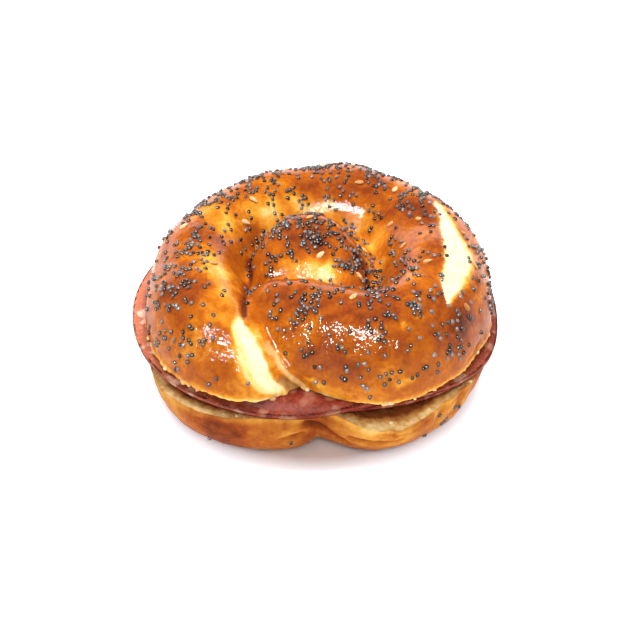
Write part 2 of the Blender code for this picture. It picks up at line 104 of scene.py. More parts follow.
def roughly(points, size, seed):
    # soft random values from -1 to 1: a lattice of random numbers, each spot blended
    # from its eight knots by smooth steps, with the lattice turned out of the axes
    turn = np.array([[0.80, 0.36, -0.48], [-0.60, 0.48, -0.64], [0.0, 0.80, 0.60]])
    lattice = np.random.default_rng(seed).uniform(-1.0, 1.0, (32, 32, 32))
    spot = points @ turn / size
    knot = np.floor(spot).astype(int)
    share = smoothStep(spot - knot)
    total = np.zeros(len(points))
    for i in (0, 1):
        for j in (0, 1):
            for k in (0, 1):
                near = np.abs(1 - np.array([i, j, k]) - share).prod(axis=1)
                total += near * lattice[tuple(((knot + (i, j, k)) % 32).T)]
    return total


def uneven(points, layers, shift=0):
    # sum of soft random layers, each given by its weight, its size and the seed
    return sum(weight * roughly(points, size, seed + shift) for weight, size, seed in layers)


def ropeLine(rows, steps=12):
    # smooth curve through the rows: on each stretch a cubic of its four nearest rows
    knots = np.asarray(rows, float)
    knots = np.vstack([2 * knots[0] - knots[1], knots, 2 * knots[-1] - knots[-2]])
    share = np.linspace(0.0, 1.0, steps, endpoint=False)[:, None]
    runs = []
    for before, start, end, after in zip(knots, knots[1:], knots[2:], knots[3:]):
        bend = 2 * before - 5 * start + 4 * end - after
        twist = 3 * start - before - 3 * end + after
        runs.append(start + 0.5 * ((end - before) * share + bend * share**2 + twist * share**3))
    return np.vstack(runs + [knots[-2:-1]])


def ropePlan(rows):
    # for each spot seen from above: squared reach from the rope in half widths, then the
    # height of its centre and its half sizes there
    line = ropeLine(rows)
    step, half = dough["planStep"], dough["planHalf"]
    axis = np.arange(-half, half + step / 2, step)
    x, y = np.meshgrid(axis, axis, indexing="ij")
    reach = np.full(x.shape, np.inf)
    section = np.zeros(x.shape + (3,))
    for start, end in zip(line[:-1], line[1:]):
        run = end - start
        share = (x - start[0]) * run[0] + (y - start[1]) * run[1]
        share = np.clip(share / max(run[0] ** 2 + run[1] ** 2, 1e-9), 0.0, 1.0)
        gap = (x - start[0] - share * run[0]) ** 2 + (y - start[1] - share * run[1]) ** 2
        here = gap / (start[3] + share * run[3]) ** 2
        nearer = here < reach
        reach = np.where(nearer, here, reach)
        section[nearer] = start[2:] + share[nearer][:, None] * run[2:]
    return np.concatenate([reach[..., None], section], axis=-1)


def lookUp(plan, points):
    # value of the plan at each point, blended from its four nearest spots
    spot = (points[:, :2] + dough["planHalf"]) / dough["planStep"]
    spot = np.clip(spot, 0.0, plan.shape[0] - 1.001)
    i, j = spot.astype(int).T
    u, v = (spot - spot.astype(int)).T[:, :, None]
    near = plan[i, j] * (1 - u) + plan[i + 1, j] * u
    far = plan[i, j + 1] * (1 - u) + plan[i + 1, j + 1] * u
    return near * (1 - v) + far * v


def melted(distances, blend):
    # soft least of several distances: minus the blend times the log of a sum of powers
    least = np.min(distances, axis=0)
    return least - blend * np.log(sum(np.exp((least - one) / blend) for one in distances))


def ropeDistance(plan, points, below=2.3):
    # (reach to the power p + rise over half height to the power p) to 1/p, less 1
    near = lookUp(plan, points)
    rise = points[:, 2] - near[:, 1]
    power = np.where(rise > 0, 2.0, below)
    tall = np.where(rise > 0, near[:, 3], near[:, 1] + 1.0)
    level = near[:, 0] ** (power / 2) + (np.abs(rise) / tall) ** power
    return (level ** (1 / power) - 1) * np.minimum(near[:, 2], near[:, 3])


def eggDistance(rows, points, blend=2.2):
    # several egg shapes, each the length of the point over its half sizes, less 1
    found = []
    for x, y, z, wide, tall in rows:
        flat = ((points[:, 0] - x) ** 2 + (points[:, 1] - y) ** 2) / wide**2
        level = np.sqrt(flat + ((points[:, 2] - z) / tall) ** 2) - 1
        found.append(level * min(wide, tall))
    return melted(found, blend) + blend * 0.9


def discGrid(count):
    # radius 0 to 1 and angle of a square grid that is pulled out to a disc
    side = np.linspace(-1.0, 1.0, count)
    across, along = np.meshgrid(side, side)
    radius = np.maximum(np.abs(across), np.abs(along))
    beside = np.pi / 4 * along / np.where(across == 0, 1.0, across)
    beside = beside + np.where(across < 0, np.pi, 0.0)
    above = np.pi / 2 - np.pi / 4 * across / np.where(along == 0, 1.0, along)
    above = above + np.where(along < 0, np.pi, 0.0)
    return radius, np.where(np.abs(across) >= np.abs(along), beside, above)


def crustSurface(count, upward):
    # rays stand upright in the middle and lean out to level at the rim; along each the reach
    # shrinks by six tenths of the dough's distance until it stands on the crust
    radius, angle = discGrid(count)
    lean = np.pi / 2 * radius ** dough["leanPower"]
    rise = np.cos(lean) * (1 if upward else -1)
    way = np.stack([np.sin(lean) * np.cos(angle), np.sin(lean) * np.sin(angle), rise], -1)
    ring = dough["ringRadius"] * radius
    level = np.full_like(radius, dough["cutHeight"])
    start = np.stack([ring * np.cos(angle), ring * np.sin(angle), level], -1)
    start, way = start.reshape(-1, 3), way.reshape(-1, 3)
    names = ["frontRope", "leftRope", "heart"] if upward else ["lowerRightRope", "lowerLeftRope"]
    plans = [ropePlan(dough[name]) for name in names]
    flat = None if upward else ropePlan(dough["middle"])
    reach = np.full(len(start), dough["farReach"])
    for _ in range(dough["marches"]):
        spot = start + way * reach[:, None]
        found = [ropeDistance(plan, spot) for plan in plans]
        if upward:
            found += [eggDistance(dough["knob"], spot), eggDistance(dough["lobe"], spot)]
        else:
            found.append(ropeDistance(flat, spot, 5.0))
        reach = reach - np.clip(melted(found, dough["blend"]) * 0.6, -0.3, 2.5)
    return (start + way * reach[:, None]).reshape(count, count, 3), way.reshape(count, count, 3)


def relaxed(surface, passes):
    # each inner point moves halfway to the middle of its four neighbours, again and again
    for _ in range(passes):
        beside = surface[1:-1, :-2] + surface[1:-1, 2:]
        around = (surface[:-2, 1:-1] + surface[2:, 1:-1] + beside) / 4
        surface = surface.copy()
        surface[1:-1, 1:-1] = (surface[1:-1, 1:-1] + around) / 2
    return surface


def swell(points):
    # three crossing waves, as hand-shaped dough is never quite even
    x, y, _ = points.T
    waves = [np.sin(x / a + y / (a + b) + c) * np.sin(y / b + c) for a, b, c in dough["swells"]]
    return dough["swellDepth"] * sum(waves)


def bells(points, rows):
    # sum of round patches, each amount times e to minus (distance over reach) squared
    total = np.zeros(len(points))
    for x, y, z, reach, amount in rows:
        gap = ((points - (x, y, z)) ** 2).sum(axis=1)
        total += amount * np.exp(-gap / reach**2)
    return total


def bell(angle, direction, spread):
    # 1 in the direction given in degrees, falling to 0 on both sides of it
    turn = (np.degrees(angle) - direction + 180.0) % 360.0 - 180.0
    return np.exp(-((turn / spread) ** 2))


def creased(points, lines, width):
    # 1 along each line of points, falling off as e to minus (distance over width) squared
    least = np.full(len(points), np.inf)
    for line in lines:
        for start, end in zip(np.array(line[:-1], float), np.array(line[1:], float)):
            run = end - start
            share = np.clip((points - start) @ run / (run @ run), 0.0, 1.0)
            gap = ((points - start - share[:, None] * run) ** 2).sum(axis=1)
            least = np.minimum(least, gap)
    return np.exp(-least / width**2)


def warped(points, size, amount):
    # points pushed about by three soft random fields, so that patches get torn outlines
    push = np.stack([roughly(points, size, 11 + k) + 0.5 * roughly(points, size / 3, 14 + k)
                     for k in range(3)], -1)
    return points + amount * push


def hollows(surface, way, passes=60):
    # how far the crust lies below its own smoothed shape, along its outward direction
    return ((relaxed(surface, passes) - surface) * way).sum(axis=-1).ravel()


def linear(hexColour):
    # sRGB hex to linear: v/12.92 in the darks, else ((v + 0.055)/1.055) to the power 2.4
    text = hexColour.lstrip("#")
    values = np.array([int(text[k:k + 2], 16) for k in (0, 2, 4)]) / 255
    bright = np.where(values <= 0.04045, values / 12.92, ((values + 0.055) / 1.055) ** 2.4)
    return (*bright, 1.0)


def perMetre(size):
    # scale of a pattern whose cells are that many millimetres wide: 1000 over it, in tens
    return round(1000 / size, -1)


def newMaterial(name):
    # a material with no nodes yet
    material = bpy.data.materials.new(name)
    material.use_nodes = True
    material.node_tree.nodes.clear()
    return material


def surfaced(material, **surface):
    # the shader with its even values and its patterns, last of a material's nodes
    shader = add(material, "ShaderNodeBsdfPrincipled", **surface)
    add(material, "ShaderNodeOutputMaterial", Surface=shader)
    return material


def add(material, kind, stops=None, **settings):
    # one node: the name of a socket takes a value, a socket or a node, which stands for the
    # first output that works, and any other name is a setting of the node
    tree = material.node_tree
    node = tree.nodes.new(kind)
    for name, value in settings.items():
        if hasattr(node, name):
            setattr(node, name, value)
    for name, value in settings.items():
        if hasattr(node, name):
            continue
        label = name.replace("_", " ")
        slot = node.inputs[int(label[5:])] if label.startswith("input") else node.inputs[label]
        if isinstance(value, bpy.types.Node):
            value = next(output for output in value.outputs if output.enabled)
        if isinstance(value, bpy.types.NodeSocket):
            tree.links.new(value, slot)
        else:
            slot.default_value = value
    if stops:
        ramp = node.color_ramp
        while len(ramp.elements) < len(stops):
            ramp.elements.new(0.5)
        for element, (place, colour) in zip(ramp.elements, stops):
            element.position, element.color = place, linear(colour)
    return node


def makePiece(name, points, faces, materials, values, slots=None):
    # points in millimetres before the part's shift; each group of faces is one array, with
    # as many columns as its faces have corners
    points = np.asarray(points, float) - (*dough["planCentre"], 0.0)
    mesh = bpy.data.meshes.new(name)
    mesh.vertices.add(len(points))
    mesh.vertices.foreach_set("co", (points * 0.001).astype(np.float32).ravel())
    corners = np.concatenate([group.ravel() for group in faces])
    sizes = np.concatenate([np.full(len(group), group.shape[1]) for group in faces])
    mesh.loops.add(len(corners))
    mesh.loops.foreach_set("vertex_index", corners.astype(np.int32))
    mesh.polygons.add(len(sizes))
    starts = np.concatenate([[0], np.cumsum(sizes)[:-1]])
    mesh.polygons.foreach_set("loop_start", starts.astype(np.int32))
    mesh.polygons.foreach_set("use_smooth", np.ones(len(sizes), bool))
    for material in materials:
        mesh.materials.append(material)
    if slots is not None:
        mesh.polygons.foreach_set("material_index", slots.astype(np.int32))
    mesh.update(calc_edges=True)
    for label, numbers in values.items():
        layer = mesh.attributes.new(label, "FLOAT", "POINT")
        layer.data.foreach_set("value", np.asarray(numbers, np.float32))
    mesh.validate()
    piece = bpy.data.objects.new(name, mesh)
    bpy.context.scene.collection.objects.link(piece)
    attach(piece, "root")
    return piece


def gridFaces(count):
    # four-sided faces of a square grid: each point, its right, far right and far neighbours
    number = np.arange(count * count).reshape(count, count)
    corners = [number[:-1, :-1], number[:-1, 1:], number[1:, 1:], number[1:, :-1]]
    return np.stack(corners, -1).reshape(-1, 4)


def ringFaces(number):
    # four-sided faces between each closed ring of point numbers and the next
    near, far = number[:-1], number[1:]
    corners = [near, np.roll(near, -1, axis=1), np.roll(far, -1, axis=1), far]
    return np.stack(corners, -1).reshape(-1, 4)


def fanFaces(ring, hub):
    # triangles from each side of a closed ring to its hub
    return np.stack([ring, np.roll(ring, -1), np.full(len(ring), hub)], -1)


def unit(vectors):
    # each vector over its own length
    return vectors / np.linalg.norm(vectors, axis=-1, keepdims=True)


def rimNumbers(count):
    # numbers of a square grid's outer points, once round
    number = np.arange(count * count).reshape(count, count)
    sides = [number[0, :-1], number[:-1, -1], number[-1, :0:-1], number[:0:-1, 0]]
    return np.concatenate(sides)


# the two faces that the knife left: where their rings lie between middle and rim, and how
# deep the pits of their crumb are
cut = {
    "topRings": [0.99, 0.975, 0.95, 0.9, 0.8, 0.6, 0.3],
    "topPits": 0.25,
    "lowerRings": [0.992, 0.984, 0.976, 0.968, 0.96, 0.95, 0.94, 0.93, 0.915, 0.9, 0.88, 0.85,
                   0.8, 0.6, 0.3],
    "lowerPits": 0.28,
    "bendPower": 14,
    # the crumb darkens behind a pale rim, partly grease from the filling and partly painted shade
    # under it: its share of the radius, the fade's, how much
    "paleRim": 0.02,
    "fade": 0.06,
    "greaseAndShade": 0.9,
}


def cutFace(surface, shares, pitDepth, seed):
    # rings of points from the rim to the middle, each the rim drawn in by its share; where
    # the rim dips, the face bends down to it near the edge, and pits of the crumb sink it;
    # the last value says how much darker the crumb is painted at each point, partly grease and
    # partly painted shade under the filling
    count = surface.shape[0]
    rim = rimNumbers(count)
    edge = surface.reshape(-1, 3)[rim]
    hub = np.array([0.0, 0.0, np.median(edge[:, 2])])
    rings = []
    for share in shares:
        ring = hub + (edge - hub) * share
        ring[:, 2] = hub[2] + (edge[:, 2] - hub[2]) * share ** cut["bendPower"]
        rings.append(ring)
    points = np.vstack(rings)
    inward = np.repeat(1 - np.asarray(shares), len(rim))
    pits = np.minimum(roughly(points, 1.7, seed) + 0.6 * roughly(points, 0.9, seed + 1), 0.1)
    points[:, 2] += pitDepth * pits * smoothStep(inward / 0.03)
    first = count * count
    number = first + np.arange(len(points)).reshape(len(rings), len(rim))
    # painted shade: the crumb darkens inward under the salami, with grease from it too
    darker = cut["greaseAndShade"] * smoothStep((inward - cut["paleRim"]) / cut["fade"])
    return (np.vstack([points, hub]), ringFaces(np.vstack([rim, number])),
            fanFaces(number[-1], first + len(points)), np.append(darker, cut["greaseAndShade"]))


topHalf = {
    "grid": 281,    # points along each side of the grid
    "relax": 5,
    # splits: place along, left edge, right edge
    "rightSplit": [
        (-33, 34.6, 35), (-30, 34.2, 36.3), (-24, 33.9, 40.4), (-16, 35.2, 43.2), (-9, 35.7, 44.3),
        (-2, 36.3, 42.9), (5, 36.9, 41.1), (15, 35.8, 38), (18, 35.6, 36),
    ],
    "frontSplit": [
        (25, -9, -7.5), (26.5, -12.5, -8.2), (30, -16, -11), (34, -18.3, -12.9),
        (36.5, -19.3, -14.8), (39, -20.4, -17.4), (42, -22, -21),
    ],
    "tornStrip": [
        (24.5, -3.6, -1.1), (26.5, -5.8, -3.3), (28.5, -7.7, -5.9), (31, -10.2, -8.2),
        (33.5, -12.3, -11), (36, -14.2, -13.5),
    ],
    "splitDepth": 1.1,
    "stripDepth": 0.5,
    "gapeDepth": 1.2,
    "fibreHeight": 0.14,
    "rippleHeight": 0.16,
    # random layers: weight, size, seed
    "wander": [(0.45, 2.2, 30), (0.27, 0.9, 29)],
    "lumps": [(0.18, 5.5, 32), (0.08, 2.6, 33)],
    "ragged": [(0.5, 3.4, 37), (0.4, 1.3, 38)],
    # lines where ropes of dough meet: x, y, z of their points
    "creases": [
        [(-20.5, 1.5, 36.4), (-19.2, -7.7, 37.6), (-20.2, -12.4, 36), (-20.6, -20, 38.5),
         (-20.3, -27.1, 41), (-19.3, -33, 41)],
        [(10.5, -5.6, 44.7), (12.7, -8.6, 41.5), (15, -11.3, 37.1), (15, -15, 37.5)],
    ],
    "creaseWidth": 0.95,
    "creaseDepth": 1.7,
    # short stretch marks, paler than the crust
    "streaks": [
        [(22.5, -41.5, 43.9), (26.3, -39.2, 43.9), (30.9, -35.7, 43.9)],
        [(18.6, -49.8, 29.3), (21.5, -49.1, 30), (25.1, -47.6, 30.1)],
        [(-16.5, -36.5, 38.4), (-13, -40, 35.5), (-9.5, -43, 32)],
        [(-8, -44.2, 31), (-3.5, -45.5, 28.5), (1, -46.8, 26.5)],
    ],
    "browning": 0.61,
    "ridgeBrowning": 0.20,
    # painted shade: how much darker the creases between the ropes are painted
    "creaseShade": 0.70,
    "hollowPaling": 0.10,
    "streakPaling": 0.34,
    "splitPaling": 0.5,
    "rimPaling": 0.28,
    # browner or paler patches: x, y, z, reach, amount
    "patches": [
        (-29.5, -9, 46.3, 4.5, -0.3), (-29, 3, 46, 4, -0.18), (-28.5, -14, 45, 4.5, -0.32),
        (-27, -20.5, 45, 4, -0.4), (-24.4, -28.5, 43.7, 4.5, -0.32), (-22.5, -34, 42.1, 3.5, -0.2),
        (-26, 8, 45.5, 5.5, -0.3), (-17.4, 15.5, 43.5, 5, -0.3), (-33.5, 10, 46, 4, -0.22),
        (-37.5, -28, 43, 8, 0.1), (-30, -44, 30, 7, 0.1), (-19.5, -38.5, 38.5, 3.2, -0.4),
        (-20.5, -42.5, 35, 3.2, -0.4), (-17, -45.5, 31, 4, -0.28), (-13, -47, 27.5, 3.2, -0.2),
        (-14.3, -26, 42.5, 4.5, -0.06), (-14, -31, 39.5, 3.6, -0.02),
        (-11.5, -36, 37.5, 3.6, -0.06), (3, -44, 35, 7, 0.14), (10, -48, 34, 6, 0.1),
        (-3, -33, 45.6, 6, 0.2), (5, -38, 46, 6, 0.16), (13, -41, 46, 6, 0.12),
        (-1, -4, 47.5, 7.5, 0.34), (-7, -12.2, 42.6, 3.6, -0.26), (-1.5, -13.2, 42, 3.6, -0.4),
        (3.5, -15, 41, 3.6, -0.5), (8, -14.5, 40, 3.5, -0.3), (12, 17, 41, 4.5, -0.34),
        (17, 8, 39, 6, -0.26), (19, -4, 38.5, 5, -0.16), (-14, 18.8, 44, 3.5, -0.4),
        (-5, 21.5, 42.8, 3.8, -0.52), (4, 21.5, 42.8, 3.8, -0.5), (32, -34, 44.5, 7, 0.16),
        (36, -18, 46, 7, 0.14), (13.7, 25.6, 48.4, 7, 0.18), (2, 31, 48.5, 8, 0.12),
        (31, 8, 46, 7, 0.22), (-8, -31, 45.5, 4, 0.22), (-33, -1, 46.5, 5, 0.16),
        (-24.5, -16.5, 43, 3.2, -0.26), (9, -11, 43, 3, 0.12), (30, 30, 42, 6, -0.3),
        (-8, 46, 40, 5, -0.24), (4, -49.5, 25.5, 7, -0.06), (14, -50.5, 26.5, 7, 0.01),
        (25, -48.5, 28, 6, 0.1), (37, -32, 38, 4.5, 0.2), (12.5, -11, 45, 3.5, 0.14),
        (31, 12, 44, 4.5, 0.16), (0, -37, 43, 4, -0.16), (-15.5, -32.5, 39, 3.5, 0.12),
        (-4, 21, 43, 4.5, -0.14), (-25, -16, 41, 4, -0.12), (-31, -40, 36, 4.5, -0.16),
        (-33, -43, 27, 4.5, 0.06), (-38, -25, 44, 4.5, 0.12), (-33.5, -29, 44, 4.5, 0.16),
        (13, -8, 41, 4, 0.22), (13, 13, 40, 4, 0.12), (41, -28, 39, 5, 0.16),
    ],
    # where the glaze dried in wrinkles: x, y, z, reach, amount
    "wrinkled": [
        (-8, -38.8, 36.5, 4, 1), (-3, -40.5, 39.5, 4.5, 1.2), (3.5, -43, 40.8, 4.5, 1.2),
        (10, -45.5, 40.2, 4.5, 1), (21.7, -45.1, 40.4, 3.5, 0.8), (29, -39, 42.5, 5, 0.7),
        (-31.8, -38.4, 38.4, 4.5, 1), (-26.1, -42, 37, 4.5, 1.1), (-21.5, -44, 35, 3.5, 0.9),
        (-3, -12.5, 42.9, 3.5, 1), (3, -15.5, 41.5, 4.5, 1.4), (-8, -9.5, 43, 4.5, -0.9),
        (-10.1, 21.1, 44, 4.5, -0.2), (-1, 23, 44.3, 6, -0.9), (9, 22.5, 44.3, 6, -0.9),
        (17, 20, 44, 4, -0.3), (-34, 14, 44, 6, 0.6), (30, 28, 42, 7, 0.7), (-20, 42, 38, 7, 0.6),
        (8, 46, 37, 7, 0.7),
    ],
}


def betweenEdges(rows, along, across):
    # 0 at the left edge of a split and 1 at its right edge, and whether it is there at all,
    # with 1.5 mm at both ends to fade
    table = np.asarray(rows)
    left = np.interp(along, table[:, 0], table[:, 1])
    right = np.interp(along, table[:, 0], table[:, 2])
    there = smoothStep((along - table[0, 0]) / 1.5) * smoothStep((table[-1, 0] - along) / 1.5)
    return (across - left) / (right - left), there


def inside(share, soft):
    # 1 between shares 0 and 1, falling to 0 at both along S curves as wide as soft
    return smoothStep(share / soft) * smoothStep((1 - share) / soft)


def topTears(points):
    # how far each point is torn open, 0 to 1, in the right split, the front one and the strip
    # beside it, the pale skin beside the splits, and how far across the right split it lies
    x, y, z = points.T
    wander = uneven(points, topHalf["wander"])
    right, there = betweenEdges(topHalf["rightSplit"], y + wander, x + wander)
    there = there * (z > dough["cutHeight"] + dough["topLift"] + 4)
    tear = {
        "across": np.clip(right, 0, 1),
        "right": inside(right, 0.16) * there,
        "besideRight": inside((right + 0.2) / 1.5, 0.25) * there,
    }
    facing = smoothStep((-26.0 - y) / 4.0)
    front, there = betweenEdges(topHalf["frontSplit"], z, x + 0.7 * wander)
    tear["front"] = inside(front, 0.3) * there * facing
    tear["besideFront"] = inside((front + 0.5) / 1.7, 0.3) * there * facing
    strip, there = betweenEdges(topHalf["tornStrip"], z, x + 0.5 * wander)
    tear["strip"] = inside(strip, 0.3) * there * facing
    # open crumb between the split and the strip, low down where the two lobes part
    gape = smoothStep((front - 0.9) / 0.2) * smoothStep((0.1 - strip) / 0.2) * facing
    tear["gape"] = gape * smoothStep((29.5 - z) / 2.0) * smoothStep((x + 12.0) / 2.0)
    tear["all"] = np.clip(tear["right"] + tear["front"] + tear["strip"] + tear["gape"], 0, 1)
    return tear


def topBrowningAndCreaseShade(before, points, tear, crease, hollow, fibres, ragged):
    # how brown the crust is, 0 to 1, with painted shade along the creases: more on ridges, less in
    # hollows, beside tears and at the rim, and mottled; before are the points without their relief
    x, y, _ = before.T
    z = points[:, 2]
    spread = warped(points, 5.0, 1.6)
    bakeAndShading = topHalf["browning"] + bells(spread, topHalf["patches"])
    bakeAndShading = bakeAndShading - topHalf["streakPaling"] * creased(spread, topHalf["streaks"], 0.9)
    bakeAndShading = bakeAndShading - topHalf["hollowPaling"] * smoothStep(hollow / 1.6)
    bakeAndShading = bakeAndShading + topHalf["ridgeBrowning"] * smoothStep(-hollow / 1.2)
    # marks drawn out along the ring, where the dough stretched
    angle = np.arctan2(y, x)
    along = np.stack([np.hypot(x, y), 9.0 * np.cos(angle), 9.0 * np.sin(angle)], -1)
    bakeAndShading = bakeAndShading + 0.10 * roughly(points, 9.0, 39) + 0.09 * roughly(along, 2.2, 40)
    # painted shade: the creases between the ropes are darkened, as shade falls in them
    bakeAndShading = bakeAndShading + 0.10 * roughly(spread, 3.0, 42) + topHalf["creaseShade"] * crease
    # paler down the side, most of all in the last millimetre above the cut
    bakeAndShading = bakeAndShading - 0.05 * smoothStep((32.0 - z) / 7.0) - 0.12 * smoothStep((27.0 - z) / 2.0)
    bakeAndShading = bakeAndShading - topHalf["rimPaling"] * smoothStep((25.4 - z + 0.8 * ragged) / 0.6)
    bakeAndShading = bakeAndShading - topHalf["splitPaling"] * (tear["besideFront"] + 0.9 * tear["besideRight"])
    # in the torn places it says how toasted the crumb is
    bakeAndShading = bakeAndShading * (1 - tear["all"]) + 0.45 * tear["strip"] + 0.8 * tear["gape"]
    return np.clip(bakeAndShading + tear["all"] * (0.08 + 0.12 * fibres), 0, 1)


def topCrust():
    # the dough's crust with its swell, its splits torn in, its creases and fine wrinkles of the
    # glaze, and how brown it is with painted shade in its creases, how crumbly and how wrinkled at
    # each point
    count = topHalf["grid"]
    surface, way = crustSurface(count, True)
    surface = relaxed(surface, topHalf["relax"])
    surface[..., 2] += dough["topLift"]
    hollow = hollows(surface, way)
    before, way = surface.reshape(-1, 3), way.reshape(-1, 3)
    tear = topTears(before)
    fibres = roughly(before * (1.0, 0.45, 0.45), 1.1, 31) + 0.6 * roughly(before, 0.8, 28)
    sunk = topHalf["splitDepth"] * (tear["right"] * (1 - 0.6 * tear["across"]) + tear["front"])
    sunk = sunk + topHalf["stripDepth"] * tear["strip"] + topHalf["gapeDepth"] * tear["gape"]
    crease = creased(before, topHalf["creases"], topHalf["creaseWidth"])
    wrinkled = np.clip(bells(before, topHalf["wrinkled"]), 0, 1)
    wrinkled = wrinkled * smoothStep((roughly(before, 2.4, 34) + 0.45) / 0.5) * (1 - tear["all"])
    ripple = np.abs(roughly(before, 1.9, 35)) + 0.7 * np.abs(roughly(before, 1.1, 36))
    ripple = (0.35 - np.minimum(ripple, 0.7)) * (0.08 + 0.92 * wrinkled)
    outward = swell(before) - sunk - topHalf["creaseDepth"] * crease
    outward = outward + uneven(before, topHalf["lumps"]) + topHalf["rippleHeight"] * ripple
    outward = outward + topHalf["fibreHeight"] * fibres * tear["all"]
    # the rim is ragged where the knife left it
    nearRim = smoothStep((dough["cutHeight"] + dough["topLift"] + 2.2 - before[:, 2]) / 2.0)
    ragged = uneven(before, topHalf["ragged"])
    points = before + way * (outward + ragged * nearRim)[:, None]
    bakeAndShading = topBrowningAndCreaseShade(before, points, tear, crease, hollow, fibres, ragged)
    crumb = 1.2 * tear["right"] + 1.2 * tear["front"] + 0.9 * tear["strip"] + tear["gape"]
    return points.reshape(count, count, 3), bakeAndShading, np.clip(crumb, 0, 1), wrinkled


def glazedCrust():
    # Pretzel crust, dipped in lye and baked: hard and thin, chestnut where it stands out and
    # amber in the hollows. Only its glaze reflects, broken into streaks by its wrinkles.
    material = newMaterial("glazedPretzelCrust")
    here = add(material, "ShaderNodeTexCoord").outputs["Object"]
    fine = add(material, "ShaderNodeTexNoise", Vector=here, Scale=perMetre(1.11), Detail=3.0)
    broad = add(material, "ShaderNodeTexNoise", Vector=here, Scale=perMetre(3.1), Detail=3.0)
    bakeAndShading = add(material, "ShaderNodeAttribute", attribute_name="bakeAndShading").outputs["Fac"]
    level = add(material, "ShaderNodeMath", operation="MULTIPLY_ADD",
                input0=fine, input1=0.36, input2=bakeAndShading)
    level = add(material, "ShaderNodeMath", operation="MULTIPLY_ADD",
                input0=broad, input1=0.30, input2=level)
    level = add(material, "ShaderNodeMath", operation="SUBTRACT", input0=level, input1=0.33)
    brown = add(material, "ShaderNodeValToRGB", Fac=level, stops=[
        (0.00, "#FBDA8C"), (0.18, "#F5B246"), (0.36, "#E08E28"),
        (0.56, "#BC6214"), (0.78, "#964418"), (1.00, "#602C18"),
    ])
    crumb = add(material, "ShaderNodeAttribute", attribute_name="crumb").outputs["Fac"]
    pale = add(material, "ShaderNodeValToRGB", Fac=level, stops=[
        (0.00, "#FFF6C8"), (0.30, "#F8DE98"), (0.60, "#DFAE68"), (1.00, "#A0642C"),
    ])
    colour = add(material, "ShaderNodeMix", data_type="RGBA", input0=crumb,
                 input6=brown, input7=pale)
    rough = add(material, "ShaderNodeMapRange", Value=crumb, To_Min=0.42, To_Max=0.75)
    # the glaze lies thickest where it wrinkled, and the torn crumb has almost none
    wrinkled = add(material, "ShaderNodeAttribute", attribute_name="wrinkled").outputs["Fac"]
    glaze = add(material, "ShaderNodeMapRange", Value=wrinkled,
                From_Min=-1.0, To_Min=0.10, To_Max=0.95)
    glaze = add(material, "ShaderNodeMix", input0=crumb, input2=glaze, input3=0.05)
    # real wrinkles are finer: these are drawn 2 mm apart, as broad as they need to show
    wave = add(material, "ShaderNodeTexNoise", Vector=here, Scale=perMetre(1.85), Detail=0.0,
               Distortion=0.9)
    ridge = add(material, "ShaderNodeMath", operation="SUBTRACT", input0=wave, input1=0.5)
    ridge = add(material, "ShaderNodeMath", operation="ABSOLUTE", input0=ridge)
    tall = add(material, "ShaderNodeMapRange", Value=wrinkled,
               From_Max=1.7, To_Min=0.12, To_Max=1.7)
    ridge = add(material, "ShaderNodeMath", operation="MULTIPLY", input0=ridge, input1=tall)
    # and low blisters, 0.7 mm across, a little over a millimetre apart
    cells = add(material, "ShaderNodeTexVoronoi", Vector=here, Scale=perMetre(1.11))
    blister = add(material, "ShaderNodeMapRange", Value=cells,
                  From_Min=0.30, From_Max=0.0, To_Max=0.04)
    ridge = add(material, "ShaderNodeMath", operation="ADD", input0=ridge, input1=blister)
    bump = add(material, "ShaderNodeBump", Strength=1.0, Distance=0.0008, Height=ridge)
    skin = add(material, "ShaderNodeBump", Strength=0.5, Distance=0.0004, Height=fine)
    return surfaced(material, IOR=1.45, Specular_IOR_Level=0.0, Coat_Roughness=0.04,
                    Coat_IOR=1.25, Coat_Weight=glaze, Coat_Normal=bump, Base_Color=colour,
                    Roughness=rough, Normal=skin)


def cutCrumb():
    # Wheat crumb cut with a knife: matt and open, with pits of a millimetre or so, cream at the rim
    # and darker inward, partly grease from the filling and partly painted shade under it.
    material = newMaterial("cutWheatCrumb")
    here = add(material, "ShaderNodeTexCoord").outputs["Object"]
    pores = add(material, "ShaderNodeTexVoronoi", Vector=here, Scale=perMetre(1.33))
    broad = add(material, "ShaderNodeTexNoise", Vector=here, Scale=perMetre(2.4), Detail=4.0)
    bakeAndShading = add(material, "ShaderNodeAttribute", attribute_name="bakeAndShading").outputs["Fac"]
    level = add(material, "ShaderNodeMath", operation="MULTIPLY_ADD",
                input0=broad, input1=0.7, input2=bakeAndShading)
    tone = add(material, "ShaderNodeValToRGB", Fac=level, stops=[
        (0.25, "#F6D293"), (0.50, "#D69B54"), (0.80, "#B06C34"), (1.00, "#7A401C"),
    ])
    bump = add(material, "ShaderNodeBump", Strength=0.8, Distance=0.0006, Height=pores)
    return surfaced(material, IOR=1.4, Roughness=0.85, Specular_IOR_Level=0.01,
                    Base_Color=tone, Normal=bump)


crumbMaterial = cutCrumb()
topSurface, topBakeAndShading, topCrumb, topWrinkled = topCrust()
closing, closingQuads, closingFan, closingGreaseAndShade = cutFace(
    topSurface, cut["topRings"], cut["topPits"], 51)
extra = np.zeros(len(closing))
crustQuads = gridFaces(topHalf["grid"])
top = makePiece(
    "topRoll",
    np.vstack([topSurface.reshape(-1, 3), closing]),
    [crustQuads, closingQuads[:, ::-1], closingFan[:, ::-1]],
    [glazedCrust(), crumbMaterial],
    {"bakeAndShading": np.append(topBakeAndShading, closingGreaseAndShade), "crumb": np.append(topCrumb, extra + 1),
     "wrinkled": np.append(topWrinkled, extra)},
    np.repeat([0, 1], [len(crustQuads), len(closingQuads) + len(closingFan)]),
)
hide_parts("bun_top")
print("top half:", len(top.data.polygons), "faces")


